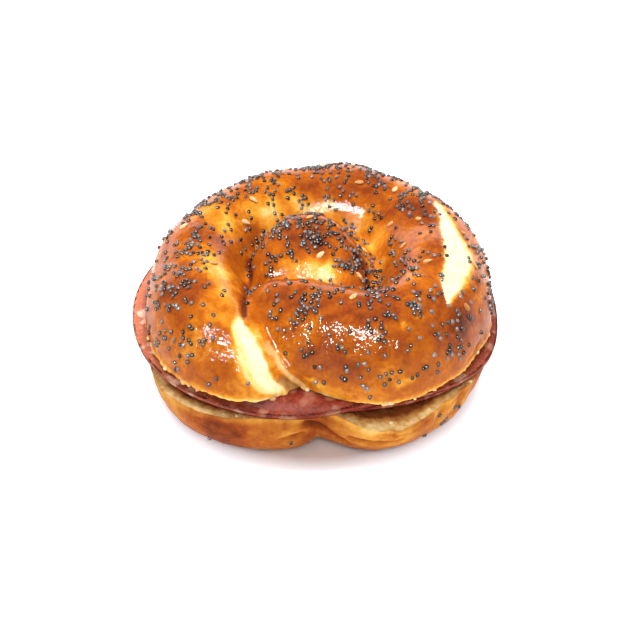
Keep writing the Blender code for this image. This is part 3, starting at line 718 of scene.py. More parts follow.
bottomHalf = {
    "grid": 221,
    "relax": 8,
    # random layers: weight, size, seed
    "lumps": [(0.20, 6.0, 63), (0.12, 2.4, 64)],
    "ragged": [(0.32, 3.1, 61), (0.256, 1.2, 62)],
    "mottling": [(0.14, 9.0, 65), (0.11, 3.2, 66)],
    # the lowest edge turns in by this much, up to this height
    "turnIn": 1.9,
    "turnInHeight": 3.2,
    # where the cut edge hangs lower: direction and spread in degrees, depth
    "dips": [(-68.0, 13.0, 4.6), (-96.0, 7.0, 1.6), (-117.0, 9.0, 1.2), (-138.0, 12.0, 1.6)],
    # lines where the dough folds over itself: x, y, z of their points
    "folds": [
        [(-3.1, -47.3, 16), (1.2, -45.2, 12), (4.6, -46, 9.5), (9, -47, 6.5)],
        [(9.5, -48.5, 10.6), (16.1, -49.2, 9.6), (23.5, -48.6, 10.8)],
        [(-9.5, -48.8, 9.5), (-4, -47, 11.5)],
    ],
    "foldWidth": 1.1,
    "foldDepth": 1.1,
    "foldSwell": 0.45,    # the dough swells out just below a fold
    # broad shallow dents
    "dents": [
        [(-44.5, -20, 15), (-47, -8, 12), (-47.5, 4, 13)],
        [(50.5, 2, 14), (48.5, 14, 12), (43, 26, 13)],
        [(-20, 44, 12), (-6, 50, 10.5), (8, 50, 11.5)],
        [(35, -43.5, 19), (33.5, -44.5, 10)],
        [(40.8, -38.5, 19), (38.8, -40.5, 9)],
        [(46.5, -30, 19), (44.5, -32.5, 9)],
        [(-47, -25, 19), (-46, -27, 9)],
    ],
    "dentWidth": 2.0,
    "dentDepth": 0.7,
    "browning": 0.67,
    "foldBrowning": 0.34,
    "dentBrowning": 0.12,
    "footBrowning": 0.20,
    "rimPaling": 0.26,
    # browner or paler patches: x, y, z, reach, amount; the paler ones at the front right, x from 8
    # to 44, are partly the crust's gold and partly painted light from the table's bounce
    "patches": [
        (-29.5, -47, 16.2, 4.6, 0.22), (-24, -48.5, 14.6, 4.6, 0.2), (-27, -47, 9, 6, 0.16),
        (-12, -49, 13, 7, -0.1), (-41.5, -38.5, 15.5, 6, -0.22), (-6.5, -48, 11, 4, -0.28),
        (12, -49.2, 13.5, 7, -0.4), (8, -48, 8, 4, -0.2), (21.3, -49.8, 14, 2.4, 0.34),
        (28.3, -47.8, 16.6, 3.4, 0.34), (32.5, -45.5, 16.5, 2.2, -0.4), (24, -48.6, 11.5, 6, -0.34),
        (36.5, -42, 14, 6, -0.36), (44, -30, 12, 6, -0.1),
    ],
}


def bottomCrust():
    # the lower crust: the dough's own swell, folds, and a ragged rim that dips in places
    count = bottomHalf["grid"]
    surface, way = crustSurface(count, False)
    surface = relaxed(surface, bottomHalf["relax"])
    points, way = surface.reshape(-1, 3), way.reshape(-1, 3)
    z = points[:, 2]
    nearRim = smoothStep((z - dough["cutHeight"] + 2.0) / 2.0)
    ragged = uneven(points, bottomHalf["ragged"]) * nearRim
    fold = creased(points, bottomHalf["folds"], bottomHalf["foldWidth"])
    beside = creased(points + (0.0, 0.0, 2.0), bottomHalf["folds"], 1.6)
    dent = creased(points, bottomHalf["dents"], bottomHalf["dentWidth"])
    relief = uneven(points, bottomHalf["lumps"]) + bottomHalf["foldSwell"] * beside
    relief = relief - bottomHalf["foldDepth"] * fold - bottomHalf["dentDepth"] * dent
    relief = relief * smoothStep((z - 0.5) / 3.0)
    points = points + way * (swell(points) + relief + ragged)[:, None]
    angle = np.arctan2(points[:, 1], points[:, 0])
    dip = sum(depth * bell(angle, turn, spread) for turn, spread, depth in bottomHalf["dips"])
    dip = dip * (1 + 0.25 * roughly(points, 4.0, 67))
    points[:, 2] -= dip * smoothStep((points[:, 2] - 7.0) / 12.4)
    points[:, 2] = np.maximum(points[:, 2], 0.0)
    turnIn = np.clip(1 - points[:, 2] / bottomHalf["turnInHeight"], 0, 1) ** 2
    reach = np.maximum(np.hypot(points[:, 0], points[:, 1]), 1.0)
    turnIn = bottomHalf["turnIn"] * turnIn * smoothStep(reach / 30.0)
    points[:, :2] *= (1 - turnIn / reach)[:, None]
    z = points[:, 2]
    bakeAndShading = bottomHalf["browning"] + bells(warped(points, 2.4, 1.6), bottomHalf["patches"])
    bakeAndShading = bakeAndShading + uneven(points, bottomHalf["mottling"])
    bakeAndShading = bakeAndShading + bottomHalf["foldBrowning"] * fold + bottomHalf["dentBrowning"] * dent
    bakeAndShading = bakeAndShading - bottomHalf["rimPaling"] * smoothStep((z + dip - 16.5) / 2.6)
    bakeAndShading = bakeAndShading + bottomHalf["footBrowning"] * smoothStep((2.5 - z) / 2.5)
    return points.reshape(count, count, 3), np.clip(bakeAndShading, 0, 1)


def lowerCrust():
    # Underside crust, baked dry against the tray: hardly any shine, golden to reddish brown.
    material = newMaterial("bakedLowerCrust")
    here = add(material, "ShaderNodeTexCoord").outputs["Object"]
    fine = add(material, "ShaderNodeTexNoise", Vector=here, Scale=perMetre(1.25), Detail=3.0)
    broad = add(material, "ShaderNodeTexNoise", Vector=here, Scale=perMetre(3.6), Detail=3.0)
    level = add(material, "ShaderNodeMath", operation="MULTIPLY_ADD",
                input0=fine, input1=0.34, input2=-0.31)
    level = add(material, "ShaderNodeMath", operation="MULTIPLY_ADD",
                input0=broad, input1=0.28, input2=level)
    bakeAndShading = add(material, "ShaderNodeAttribute", attribute_name="bakeAndShading").outputs["Fac"]
    level = add(material, "ShaderNodeMath", operation="ADD", input0=bakeAndShading, input1=level)
    brown = add(material, "ShaderNodeValToRGB", Fac=level, stops=[
        (0.00, "#EBBC6C"), (0.25, "#D8963C"), (0.50, "#B86C24"), (0.75, "#964416"),
        (1.00, "#642A0E"),
    ])
    rough = add(material, "ShaderNodeMapRange", Value=fine, To_Min=0.36, To_Max=0.58)
    bump = add(material, "ShaderNodeBump", Strength=0.4, Distance=0.0003, Height=fine)
    return surfaced(material, IOR=1.45, Specular_IOR_Level=0.03, Base_Color=brown,
                    Roughness=rough, Normal=bump)


bottomSurface, bottomBakeAndShading = bottomCrust()
closing, closingQuads, closingFan, closingGreaseAndShade = cutFace(
    bottomSurface, cut["lowerRings"], cut["lowerPits"], 71)
crustQuads = gridFaces(bottomHalf["grid"])
bottom = makePiece(
    "bottomRoll",
    np.vstack([bottomSurface.reshape(-1, 3), closing]),
    [crustQuads[:, ::-1], closingQuads, closingFan],
    [lowerCrust(), crumbMaterial],
    {"bakeAndShading": np.append(bottomBakeAndShading, closingGreaseAndShade)},
    np.repeat([0, 1], [len(crustQuads), len(closingQuads) + len(closingFan)]),
)
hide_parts("bun_bottom")
print("bottom half:", len(bottom.data.polygons), "faces")


salami = {
    # centre x, centre y, radius and bulge of each slice, from the bottom up
    "slices": [(0.8, 4, 52.2, 4.4), (1.6, 5, 52.6, 6.2), (-2.5, 1.5, 53.3, 2.4)],
    "bulge": (-42.0, 25.0),    # the bulge's direction and spread in degrees
    # all slices stand out a little at the left front: direction, spread, depth
    "leftSwell": (-136.0, 24.0, 1.9),
    "thick": 1.3,
    "gap": 0.3,
    "wobble": 0.006,
    # where the lower slices sink at the side: from this reach, over this width, by this
    # depth, and its direction and spread
    "sideDroop": (52.8, 3.0, 0.8, -5.0, 25.0),
    # where the top slice sinks past the one below: direction, spread, depth
    "frontDroop": [(-100.0, 30.0, 2.2), (-165.0, 35.0, 0.7)],
    "frontWidth": 3.5,
    "clearance": 0.6,
    # where the edges are paler, partly dried and partly painted light on the lit left, back and
    # right sides: direction, spread, share
    "driedAndLit": [(178.0, 48.0, 0.95), (-2.0, 35.0, 0.12), (90.0, 50.0, 0.6),
              (-42.0, 10.0, 0.30)],
    "ripples": [(0.10, 6.0, 81), (0.05, 2.2, 84)],    # weight, size, seed
    "segments": 540,
    "rings": [0.5, 0.75, 0.82, 0.86, 0.89, 0.91, 0.925, 0.94, 0.95, 0.96, 0.97, 0.98, 0.988,
              0.994, 0.998],
}


def sliceReach(order, angle):
    # a circle with a slow wobble of threes and fives, and a bulge to each side of the front
    _, _, radius, bulge = salami["slices"][order]
    wobble = salami["wobble"] * (np.sin(3 * angle + order) + np.sin(5 * angle + 2 * order))
    turn, spread, more = salami["leftSwell"]
    bulges = bulge * bell(angle, *salami["bulge"]) + more * bell(angle, turn, spread)
    return radius * (1.0 + wobble) + bulges


def sliceDroop(order, x, y, angle):
    # the edge sinks beyond the roll at the side, and beyond the slice below at the front
    if order < 2:
        start, width, depth, direction, spread = salami["sideDroop"]
        outside = smoothStep((np.hypot(x, y) - start) / width)
        return depth * outside * bell(np.arctan2(y, x), direction, spread)
    centreX, centreY = salami["slices"][order - 1][:2]
    reach = sliceReach(order - 1, np.arctan2(y - centreY, x - centreX))
    beyond = np.hypot(x - centreX, y - centreY) - reach - salami["clearance"]
    depth = sum(most * bell(angle, turn, spread) for turn, spread, most in salami["frontDroop"])
    return depth * smoothStep(beyond / salami["frontWidth"])


def addSlice(order, material):
    # rings of the outline on both sides, joined by a rounded edge, with fine ripples
    centreX, centreY = salami["slices"][order][:2]
    thick = salami["thick"]
    base = dough["cutHeight"] + salami["gap"] + order * (thick + salami["gap"])
    angle = np.linspace(0.0, 2 * np.pi, salami["segments"], endpoint=False)
    radius = sliceReach(order, angle)
    rings = salami["rings"]
    half = thick / 2
    profile = [(share, -1.0, 0.0) for share in rings]
    profile += [(1.0, np.sin(turn), half * (np.cos(turn) - 1.0))
                for turn in np.linspace(-np.pi / 2, np.pi / 2, 7)]
    profile += [(share, 1.0, 0.0) for share in rings[::-1]]
    parts = []
    for share, side, inset in profile:
        reach = radius * share + inset
        x = centreX + reach * np.cos(angle)
        y = centreY + reach * np.sin(angle)
        z = base + half + half * side - sliceDroop(order, x, y, angle)
        parts.append(np.stack([x, y, z], -1))
    points = np.vstack(parts)
    share = np.repeat([row[0] for row in profile], len(angle))
    edge = smoothStep((share - 0.9) / 0.08)
    points[:, 2] += uneven(points * (1, 1, 0.02), salami["ripples"], order) * edge
    number = np.arange(len(points)).reshape(len(profile), len(angle))
    hubs = np.array([[centreX, centreY, base], [centreX, centreY, base + thick]])
    under = fanFaces(number[0], len(points))[:, [1, 0, 2]]
    over = fanFaces(number[-1], len(points) + 1)
    around = np.arctan2(points[:, 1], points[:, 0])
    driedAndLit = sum(most * bell(around, turn, spread) for turn, spread, most in salami["driedAndLit"])
    piece = makePiece(f"salamiSlice{order + 1}", np.vstack([points, hubs]),
                      [ringFaces(number), under, over], [material],
                      {"driedAndLit": np.append(driedAndLit * edge, [0, 0])})
    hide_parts(f"salami_{order + 1}")


def curedSalami(turn):
    # Cured sausage, sliced thin: dark red lean meat and rosy fat in grains of about 4 mm, paler at
    # the edge, partly where it dried and partly as painted light on the lit sides, and darker at
    # the front as painted shade under the roll's rim, under an uneven film of grease that is nearly
    # matt.
    material = newMaterial(f"slicedSalami{turn}")
    here = add(material, "ShaderNodeTexCoord").outputs["Object"]
    here = add(material, "ShaderNodeMapping", Vector=here, Rotation=(0.0, 0.0, 0.7 * turn))
    bend = add(material, "ShaderNodeTexNoise", Vector=here, Scale=perMetre(3.0), Detail=3.0)
    pushed = add(material, "ShaderNodeMix", data_type="VECTOR", input0=0.0014,
                 input4=here, input5=bend.outputs["Color"])
    grains = add(material, "ShaderNodeTexVoronoi", Vector=pushed, Scale=perMetre(4.0),
                 feature="SMOOTH_F1", Smoothness=0.8)
    patches = add(material, "ShaderNodeTexNoise", Vector=here, Scale=perMetre(5.3), Detail=2.0)
    fat = add(material, "ShaderNodeMath", operation="MULTIPLY_ADD",
              input0=patches, input1=1.1, input2=-0.24)
    fat = add(material, "ShaderNodeMath", operation="SUBTRACT", input0=fat, input1=grains)
    white = add(material, "ShaderNodeMapRange", Value=fat,
                From_Min=-0.10, From_Max=0.16, interpolation_type="SMOOTHSTEP")
    # painted shade: the lean and the fat are darker where no edge is lit, as at the front under the
    # roll's rim
    lean = add(material, "ShaderNodeValToRGB", Fac=bend, stops=[
        (0.25, "#641E14"), (0.50, "#843222"), (0.75, "#9A4634"),
    ])
    # paler where the edge of the slice has dried, and painted light where the lamps light it
    driedAndLit = add(material, "ShaderNodeAttribute", attribute_name="driedAndLit").outputs["Fac"]
    meat = add(material, "ShaderNodeMix", data_type="RGBA", input0=driedAndLit,
               input6=lean, input7=linear("#CC7656"))
    marble = add(material, "ShaderNodeMix", data_type="RGBA", input0=driedAndLit,
                 input6=linear("#A8664E"), input7=linear("#FBD8BE"))
    colour = add(material, "ShaderNodeMix", data_type="RGBA", input0=white,
                 input6=meat, input7=marble)
    # crumbs of fat between the grains, a millimetre or less
    specks = add(material, "ShaderNodeTexNoise", Vector=here, Scale=perMetre(1.0), Detail=2.0)
    speck = add(material, "ShaderNodeMapRange", Value=specks,
                From_Min=0.54, From_Max=0.76, To_Max=0.4)
    colour = add(material, "ShaderNodeMix", data_type="RGBA", input0=speck,
                 input6=colour, input7=marble)
    film = add(material, "ShaderNodeTexNoise", Vector=here, Scale=perMetre(0.77), Detail=1.0)
    bump = add(material, "ShaderNodeBump", Strength=0.7, Distance=0.0004, Height=film)
    return surfaced(material, IOR=1.42, Roughness=0.40, Specular_IOR_Level=0.03,
                    Base_Color=colour, Normal=bump)


for order in range(3):
    addSlice(order, curedSalami(order + 1))
print("salami is in")


seeds = {
    # sizes and faces of one seed: a sesame seed is drawn to a point, a poppy seed is bent
    "sesame": {"size": (2.7, 1.8, 0.8), "rings": 7, "segments": 8, "point": 0.20},
    "poppy": {"size": (1.3, 1.1, 0.95), "rings": 5, "segments": 7, "bend": 0.22,
              "tipBend": 0.13},
    "sesameTilt": 0.12,
    "poppyTilt": 0.28,
    "growth": (0.92, 1.14),    # least and most of a seed's size
    "sink": 0.3,    # share of a seed's thickness that is baked into the crust
    # how the part's own seeds are drawn
    "draws": 9000,
    "sesameCount": 30,
    "sesameSpacing": 9.0,
    "poppyCount": 130,
    "poppySpacing": 3.9,
    "lowest": 27.0,
    "leastShare": 0.05,
    # where these lie thickest: x, y, reach, chance
    "patches": [
        (-36, 0, 15, 0.9), (-28, 22, 14, 0.55), (0, 36, 19, 0.85), (24, 26, 14, 0.85),
        (36, 2, 13, 0.7), (38, -20, 12, 0.55), (-4, -1, 11, 0.95), (17, -8, 9, 0.9),
        (4, -30, 11, 0.6), (22, -34, 13, 0.4), (-28, -30, 10, 0.3),
    ],
    # how the rest of the poppy seeds are drawn
    "allPoppy": 1480,
    "moreDraws": 30000,
    "chosen": 3000,
    "closest": 0.86,
    "besideSesame": 1.9,
    "clumpSize": 2.4,
    "leastFall": 0.004,
    "lowestFall": 25.5,
    # where they lie thickest: x, y, reach, weight
    "fall": [
        (-40, -20, 5, 0.46), (-38, -12, 6, 0.60), (-38, -28, 6, 0.42), (-38, 8, 7, 0.22),
        (-34, -26, 5, 0.36), (-34, -4, 6, 0.34), (-29, -37, 6, 0.18), (-25, 13, 6, 0.20),
        (-18, 24, 5, 0.34), (-17, -5, 5, 0.18), (-16, 12, 5, 0.16), (-17, -14, 4, 0.30),
        (-11, 32, 7, 0.26), (-2, 38, 6, 0.52), (14, 37, 6, 0.30), (-7, -7, 4, 0.20),
        (-7, 0, 3.5, 0.95), (-1, 0, 4.5, 0.90), (6, -2, 4.5, 0.55), (9, -10, 3.5, 0.40),
        (-7, -31, 4.5, 0.36), (-1, -33, 4, 0.24), (-4, 23, 5, 0.12), (3, 31, 6, 0.30),
        (15, -10, 5, 0.30), (16, 22, 7, 0.24), (14, -34, 6, 0.30), (20, 31, 6, 0.24),
        (28, 20, 7, 0.30), (21, -3, 7, 0.12), (3, -43, 6, 0.07), (12, -47, 5, 0.10),
        (20, -45, 5, 0.14), (27, -18, 8, 0.12), (24, -36, 5, 0.26), (33, -34, 6, 0.28),
        (35, 5, 6, 0.24), (36, 24, 6, 0.26), (39, -24, 5, 0.26), (46, -12, 5, 0.32),
        (47, 0, 5, 0.34), (45, 14, 6, 0.34),
        (-30, 30, 12, 0.26), (0, 46, 16, 0.20), (32, 34, 12, 0.18), (-42, 22, 10, 0.12),
    ],
    # single seeds stuck to the lower half: x, y, z
    "strays": [
        (34.5, -43.5, 14), (36, -41.5, 10), (36.8, -40.8, 10.6), (35.4, -42, 9.2),
        (31, -44, 6), (39.6, -38.9, 13.2), (40.4, -38, 12.6), (-7, -48, 8),
        (-30, -42, 4), (46, 12, 9), (-10, 48, 9),
    ],
}


def crustPlaces(surface, crumb, across, along):
    # spot, outward direction and crumb on the grid at shares 0 to 1 of both sides: the spot
    # is blended from four grid points, and the direction is the cross of both ways along
    last = surface.shape[0] - 1
    i = np.minimum((along * last).astype(int), last - 1)
    j = np.minimum((across * last).astype(int), last - 1)
    v = (along * last - i)[:, None]
    u = (across * last - j)[:, None]
    near = surface[i, j] * (1 - u) + surface[i, j + 1] * u
    far = surface[i + 1, j] * (1 - u) + surface[i + 1, j + 1] * u
    wide = np.clip(np.stack([i - 2, i + 3, j - 2, j + 3]), 0, last)
    alongWay = surface[wide[1], j] - surface[wide[0], j]
    acrossWay = surface[i, wide[3]] - surface[i, wide[2]]
    normal = unit(np.cross(acrossWay, alongWay))
    return near * (1 - v) + far * v, normal, crumb.reshape(last + 1, last + 1)[i, j]


def nearestPlaces(surface, spots):
    # the grid point nearest to each spot, and its direction away from the middle
    points = surface.reshape(-1, 3)
    gap = np.linalg.norm(points[None] - np.array(spots)[:, None], axis=2)
    row, column = np.divmod(gap.argmin(axis=1), surface.shape[1])
    normal = np.cross(surface[row, column + 2] - surface[row, column - 2],
                      surface[row + 2, column] - surface[row - 2, column])
    found = surface[row, column]
    outward = np.sign((normal * (found - (0.0, 0.0, dough["cutHeight"]))).sum(axis=1))
    return found, unit(normal) * outward[:, None]


def seedShare(places, normals, rows):
    # chance of a seed: the highest of several bells, less towards the rim and none below
    x, y, z = places.T
    share = np.full(len(places), seeds["leastShare"])
    for patchX, patchY, reach, strength in rows:
        gap = (x - patchX) ** 2 + (y - patchY) ** 2
        share = np.maximum(share, strength * np.exp(-gap / reach**2))
    return share * smoothStep((z - seeds["lowest"]) / 8.0) * (normals[:, 2] > 0.1)


def apart(places, spacing, most, kept=()):
    # numbers of the places that keep the spacing from all that were kept before
    taken = list(kept)
    found = []
    for index, place in enumerate(places):
        if len(found) == most:
            break
        if not taken or (np.linalg.norm(np.array(taken) - place, axis=1) > spacing).all():
            taken.append(place)
            found.append(index)
    return found


def eggBody(size, rings, segments, point=0.0, bend=0.0, tipBend=0.0):
    # rings from tip to tip of an egg: x runs as a cosine and the width as a sine, a point
    # narrows it along x, and a bend pushes it sideways by the square of x
    turn = np.linspace(0.0, np.pi, rings + 2)[1:-1]
    around = np.linspace(0.0, 2 * np.pi, segments, endpoint=False)
    x = np.cos(turn)[:, None] * np.ones(segments)
    wide = np.sin(turn)[:, None] * (1.0 - point * (0.6 + x))
    y = wide * np.cos(around) + bend * (x**2 - 0.4)
    body = np.stack([x, y, wide * np.sin(around)], -1).reshape(-1, 3)
    tips = [[1.0, tipBend, 0.0], [-1.0, tipBend, 0.0]]
    body = np.vstack([body, tips]) * np.asarray(size) / 2
    number = np.arange(rings * segments).reshape(rings, segments)
    head = fanFaces(number[0], number.size)[:, [1, 0, 2]]
    tail = fanFaces(number[-1], number.size + 1)
    return body, ringFaces(number), np.vstack([head, tail])


def addCopies(name, middles, axes, scale, bodies, quads, tips, material, generator):
    # many small bodies in one array: each body's points run along its own three axes, times
    # its scale, from its middle on, and each copy has one random tone
    count, each = len(middles), bodies.shape[1]
    points = middles[:, None] + bodies @ axes * scale[:, None, None]
    step = (each * np.arange(count))[:, None, None]
    tone = np.repeat(generator.uniform(0, 1, count), each)
    faces = [(quads + step).reshape(-1, 4), (tips + step).reshape(-1, 3)]
    return makePiece(name, points.reshape(-1, 3), faces, [material], {"tone": tone})


def addSeeds(name, seed, tilt, places, normals, turns, material, generator):
    # copies of one seed, each laid flat on the crust, turned about its normal, tipped and
    # made a little larger or smaller
    body, quads, tips = eggBody(**seed)
    count = len(places)
    up = unit(normals + generator.normal(0, tilt, (count, 3)))
    side = unit(np.cross(up, np.stack([np.cos(turns), np.sin(turns), np.full(count, 0.1)], -1)))
    axes = np.stack([side, np.cross(up, side), up], 1)
    scale = generator.uniform(*seeds["growth"], count)
    middles = places + normals * (seed["size"][2] * (0.5 - seeds["sink"]))
    return addCopies(name, middles, axes, scale, body[None], quads, tips, material, generator)


def poppyHull():
    # Poppy seed, baked: a hard hull, near black to brownish grey, with a soft glint. Its net
    # of ridges is drawn a quarter of a millimetre wide and hardly shows.
    material = newMaterial("bluePoppySeed")
    tone = add(material, "ShaderNodeAttribute", attribute_name="tone").outputs["Fac"]
    tone = add(material, "ShaderNodeValToRGB", Fac=tone, stops=[
        (0.0, "#16100E"), (0.3, "#372D29"), (0.7, "#5E524D"), (1.0, "#8A7F7C"),
    ])
    here = add(material, "ShaderNodeTexCoord").outputs["Object"]
    net = add(material, "ShaderNodeTexVoronoi", Vector=here, Scale=perMetre(0.238))
    bump = add(material, "ShaderNodeBump", Strength=0.35, Distance=0.00008, Height=net)
    return surfaced(material, IOR=1.5, Roughness=0.32, Specular_IOR_Level=0.28,
                    Base_Color=tone, Normal=bump)


def sesameHull():
    # Hulled sesame, toasted: straw to light brown, smooth, with a faint waxy sheen.
    material = newMaterial("toastedSesameSeed")
    tone = add(material, "ShaderNodeAttribute", attribute_name="tone").outputs["Fac"]
    tone = add(material, "ShaderNodeValToRGB", Fac=tone, stops=[
        (0.0, "#BE7C40"), (0.5, "#D9A464"), (1.0, "#F0CC98"),
    ])
    return surfaced(material, IOR=1.47, Roughness=0.40, Specular_IOR_Level=0.06,
                    Base_Color=tone)


generator = np.random.default_rng(20)
across, along, chance, turns = generator.random((4, seeds["draws"]))
places, normals, _ = crustPlaces(topSurface, topCrumb, across, along)
kept = np.nonzero(chance < seedShare(places, normals, seeds["patches"]))[0]
sesame = kept[apart(places[kept], seeds["sesameSpacing"], seeds["sesameCount"])]
gap = np.linalg.norm(places[kept][:, None] - places[sesame][None], axis=2).min(axis=1)
free = kept[gap > seeds["sesame"]["size"][0]]
poppy = free[apart(places[free], seeds["poppySpacing"], seeds["poppyCount"])]
print("seeds as in the part:", len(sesame), "sesame and", len(poppy), "poppy")

# the rest of the poppy seeds are drawn by how thick they lie, in clumps
generator = np.random.default_rng(21)
across, along, moreTurns = generator.random((3, seeds["moreDraws"]))
morePlaces, moreNormals, moreCrumb = crustPlaces(topSurface, topCrumb, across, along)
x, y, z = morePlaces.T
thick = sum(many * np.exp(-((x - fallX) ** 2 + (y - fallY) ** 2) / reach**2)
            for fallX, fallY, reach, many in seeds["fall"]) + seeds["leastFall"]
clump = 0.05 + smoothStep((roughly(morePlaces, seeds["clumpSize"], 91) - 0.04) / 0.24)
upper = smoothStep((z - seeds["lowestFall"]) / 3.0) * (moreNormals[:, 2] > -0.2)
# hardly any stuck to the torn crumb
thick = thick * clump * upper * (1 - 0.96 * moreCrumb)
more = generator.choice(len(thick), seeds["chosen"], replace=False, p=thick / thick.sum())
gap = np.linalg.norm(morePlaces[more][:, None] - places[sesame][None], axis=2).min(axis=1)
more = more[gap > seeds["besideSesame"]]
more = more[apart(morePlaces[more], seeds["closest"], seeds["allPoppy"] - len(poppy),
                  places[poppy])]
lower, lowerNormals = nearestPlaces(bottomSurface, seeds["strays"])
allPlaces = np.vstack([places[poppy], morePlaces[more], lower])
allNormals = np.vstack([normals[poppy], moreNormals[more], lowerNormals])
allTurns = np.concatenate([turns[poppy], moreTurns[more], moreTurns[:len(lower)]]) * 2 * np.pi
poppyPiece = addSeeds("poppySeeds", seeds["poppy"], seeds["poppyTilt"],
                      allPlaces, allNormals, allTurns, poppyHull(), generator)
sesamePiece = addSeeds("sesameSeeds", seeds["sesame"], seeds["sesameTilt"],
                       places[sesame], normals[sesame], turns[sesame] * 2 * np.pi,
                       sesameHull(), generator)
for piece in (poppyPiece, sesamePiece):
    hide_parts("bun_top")
print("seeds:", len(allPlaces), "poppy")


crumbs = {
    "count": 70,
    "size": (0.5, 1.5),
    "flakes": 34,
    "flakeSize": (1.2, 2.6),
    "flakeThick": 0.3,
    "ball": {"size": (2.0, 2.0, 2.0), "rings": 3, "segments": 7},
    "ragged": (0.65, 1.2),
    "scatter": 0.12,    # how far they lie from the edge, to each side
}


def addCrumbs(generator):
    # torn lumps of a few faces: rings of a ball, each point pushed in or out at random; the
    # flakes of crust at the upper rim are the same lumps pressed flat
    ball, quads, tips = eggBody(**crumbs["ball"])
    count, flakes = crumbs["count"], crumbs["flakes"]
    cutRim = closing[:4 * len(rimNumbers(bottomHalf["grid"]))]
    lying = cutRim[generator.integers(0, len(cutRim), count)]
    rim = topSurface.reshape(-1, 3)[rimNumbers(topHalf["grid"])]
    hanging = rim[generator.integers(0, len(rim), flakes)]
    places = np.vstack([lying, hanging])
    shift = generator.uniform(-crumbs["scatter"], crumbs["scatter"], (count + flakes, 3))
    outward = places / np.linalg.norm(places[:, :2], axis=1)[:, None] * (1, 1, 0)
    size = np.concatenate([generator.uniform(*crumbs["size"], count) / 2,
                           generator.uniform(*crumbs["flakeSize"], flakes) / 2])
    lumps = generator.uniform(*crumbs["ragged"], (count + flakes, len(ball), 1)) * ball
    thin = np.repeat([1.0, crumbs["flakeThick"]], [count, flakes])
    along = np.stack([-outward[:, 1], outward[:, 0], 0 * thin], -1)
    # they lean out and down over the edge
    tilt = outward * 0.6 + (0.0, 0.0, -0.8)
    axes = np.stack([along, tilt * 0.8, np.cross(along, tilt) * thin[:, None]], 1)
    return addCopies("crumbs", places + shift, axes, size, lumps, quads, tips,
                     looseCrumb(), generator)


def looseCrumb():
    # Crumbs and flakes broken off the cut edge: dry and dull, cream to toasted gold.
    material = newMaterial("looseWheatCrumb")
    tone = add(material, "ShaderNodeAttribute", attribute_name="tone").outputs["Fac"]
    colour = add(material, "ShaderNodeValToRGB", Fac=tone, stops=[
        (0.0, "#FBE3A8"), (0.6, "#EBB866"), (1.0, "#C07A30"),
    ])
    return surfaced(material, IOR=1.4, Roughness=0.8, Base_Color=colour)


crumbPiece = addCrumbs(np.random.default_rng(22))
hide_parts("bun_bottom")
print("crumbs are in")


setting = {
    # metres, degrees and watts
    "floorSide": 6.0,
    # painted light: the table glows beyond the roll, from this reach, fully from this one, which
    # leaves a painted shadow round it
    "paintedGlowFrom": 0.048,
    "paintedGlowFully": 0.055,
    "paintedGlowStrength": 0.70,
    # a lamp's place, its sides, its power and what doesn't see it: the key and the fill light
    # matt surfaces alone, and the glint and the backdrop only show where something shines
    "lamps": [
        ("keySoftbox", (-0.02, -0.46, 0.50), (0.34, 0.20), 0.9, ["glossy"]),
        ("windowGlint", (-0.17, -0.41, 0.46), (0.56, 0.12), 36.0, ["diffuse"]),
        ("backdropGlow", (0.0, 0.60, 0.17), (2.4, 0.34), 9.0, ["diffuse", "camera"]),
        ("ceilingFill", (-0.05, 0.22, 1.1), (0.8, 0.8), 16.5, ["glossy"]),
    ],
    "skyStrength": 0.42,
    "cameraPlace": (0.0014, -0.2255, 0.1824),
    "lookDown": 37.0,
    "lens": 50.0,
}


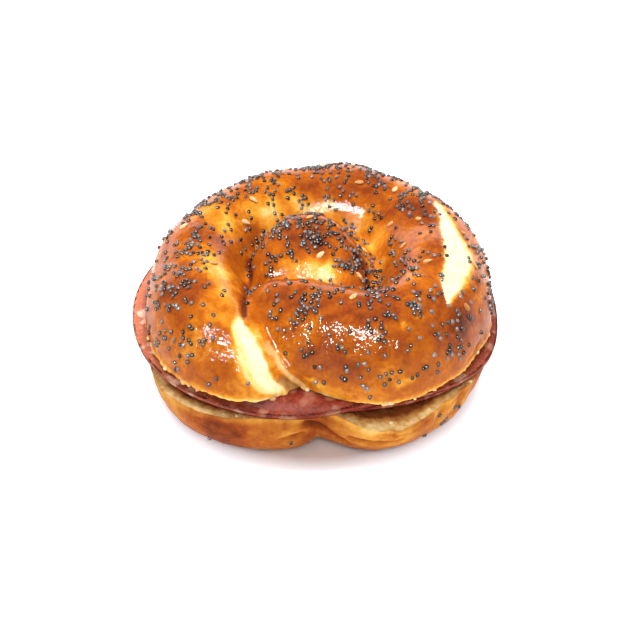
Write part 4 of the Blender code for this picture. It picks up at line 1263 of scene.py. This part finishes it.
def addSoftbox(name, place, sides, power, unseen):
    # a rectangle of light that faces the middle: its back is the way out from there, its
    # right is level, and its top is the cross of both
    lamp = bpy.data.lights.new(name, "AREA")
    lamp.shape = "RECTANGLE"
    lamp.size, lamp.size_y = sides
    lamp.energy = power
    softbox = bpy.data.objects.new(name, lamp)
    bpy.context.scene.collection.objects.link(softbox)
    back = unit(np.array(place))
    right = unit(np.cross((0, 0, 1), back))
    axes = np.stack([right, np.cross(back, right), back, place], 1)
    softbox.matrix_world = Matrix([*axes.tolist(), [0, 0, 0, 1]])
    for ray in unseen:
        setattr(softbox, "visible_" + ray, False)


def paintedGlowTable():
    # White table, quite matt, with painted light: it glows more with the reach from the middle, so
    # that a painted shadow stays round the roll.
    material = newMaterial("whiteTablePaintedGlow")
    here = add(material, "ShaderNodeTexCoord").outputs["Object"]
    reach = add(material, "ShaderNodeVectorMath", operation="LENGTH", input0=here)
    paintedGlow = add(material, "ShaderNodeMapRange", Value=reach, From_Min=setting["paintedGlowFrom"],
              From_Max=setting["paintedGlowFully"], To_Min=0.0, To_Max=setting["paintedGlowStrength"])
    return surfaced(material, Base_Color=linear("#FBFAF9"), Roughness=0.9,
                    Specular_IOR_Level=0.0, Emission_Color=linear("#E8F4FF"),
                    Emission_Strength=paintedGlow)


def setStage():
    # a square floor, the lamps and an even white sky
    side = setting["floorSide"] / 2
    mesh = bpy.data.meshes.new("floor")
    corners = [(-side, -side, 0), (side, -side, 0), (side, side, 0), (-side, side, 0)]
    mesh.from_pydata(corners, [], [(0, 1, 2, 3)])
    floor = bpy.data.objects.new("floor", mesh)
    bpy.context.scene.collection.objects.link(floor)
    mesh.materials.append(paintedGlowTable())
    for lamp in setting["lamps"]:
        addSoftbox(*lamp)
    world = bpy.data.worlds.new("studioWhite")
    world.use_nodes = True
    sky = world.node_tree.nodes["Background"]
    sky.inputs["Color"].default_value = (1.0, 1.0, 1.0, 1.0)
    sky.inputs["Strength"].default_value = setting["skyStrength"]
    bpy.context.scene.world = world
    bpy.context.scene.view_settings.view_transform = "Standard"


def setCamera():
    # it faces +Y and looks down, so its turn about x is a right angle less that angle
    camera = bpy.data.objects.new("camera", bpy.data.cameras.new("camera"))
    camera.data.lens = setting["lens"]
    camera.data.sensor_width = 36.0
    camera.data.clip_start = 0.01
    bpy.context.scene.collection.objects.link(camera)
    camera.location = setting["cameraPlace"]
    camera.rotation_euler = (np.radians(90.0 - setting["lookDown"]), 0.0, 0.0)
    bpy.context.scene.camera = camera


setStage()
setCamera()
print("floor, light and camera are set")
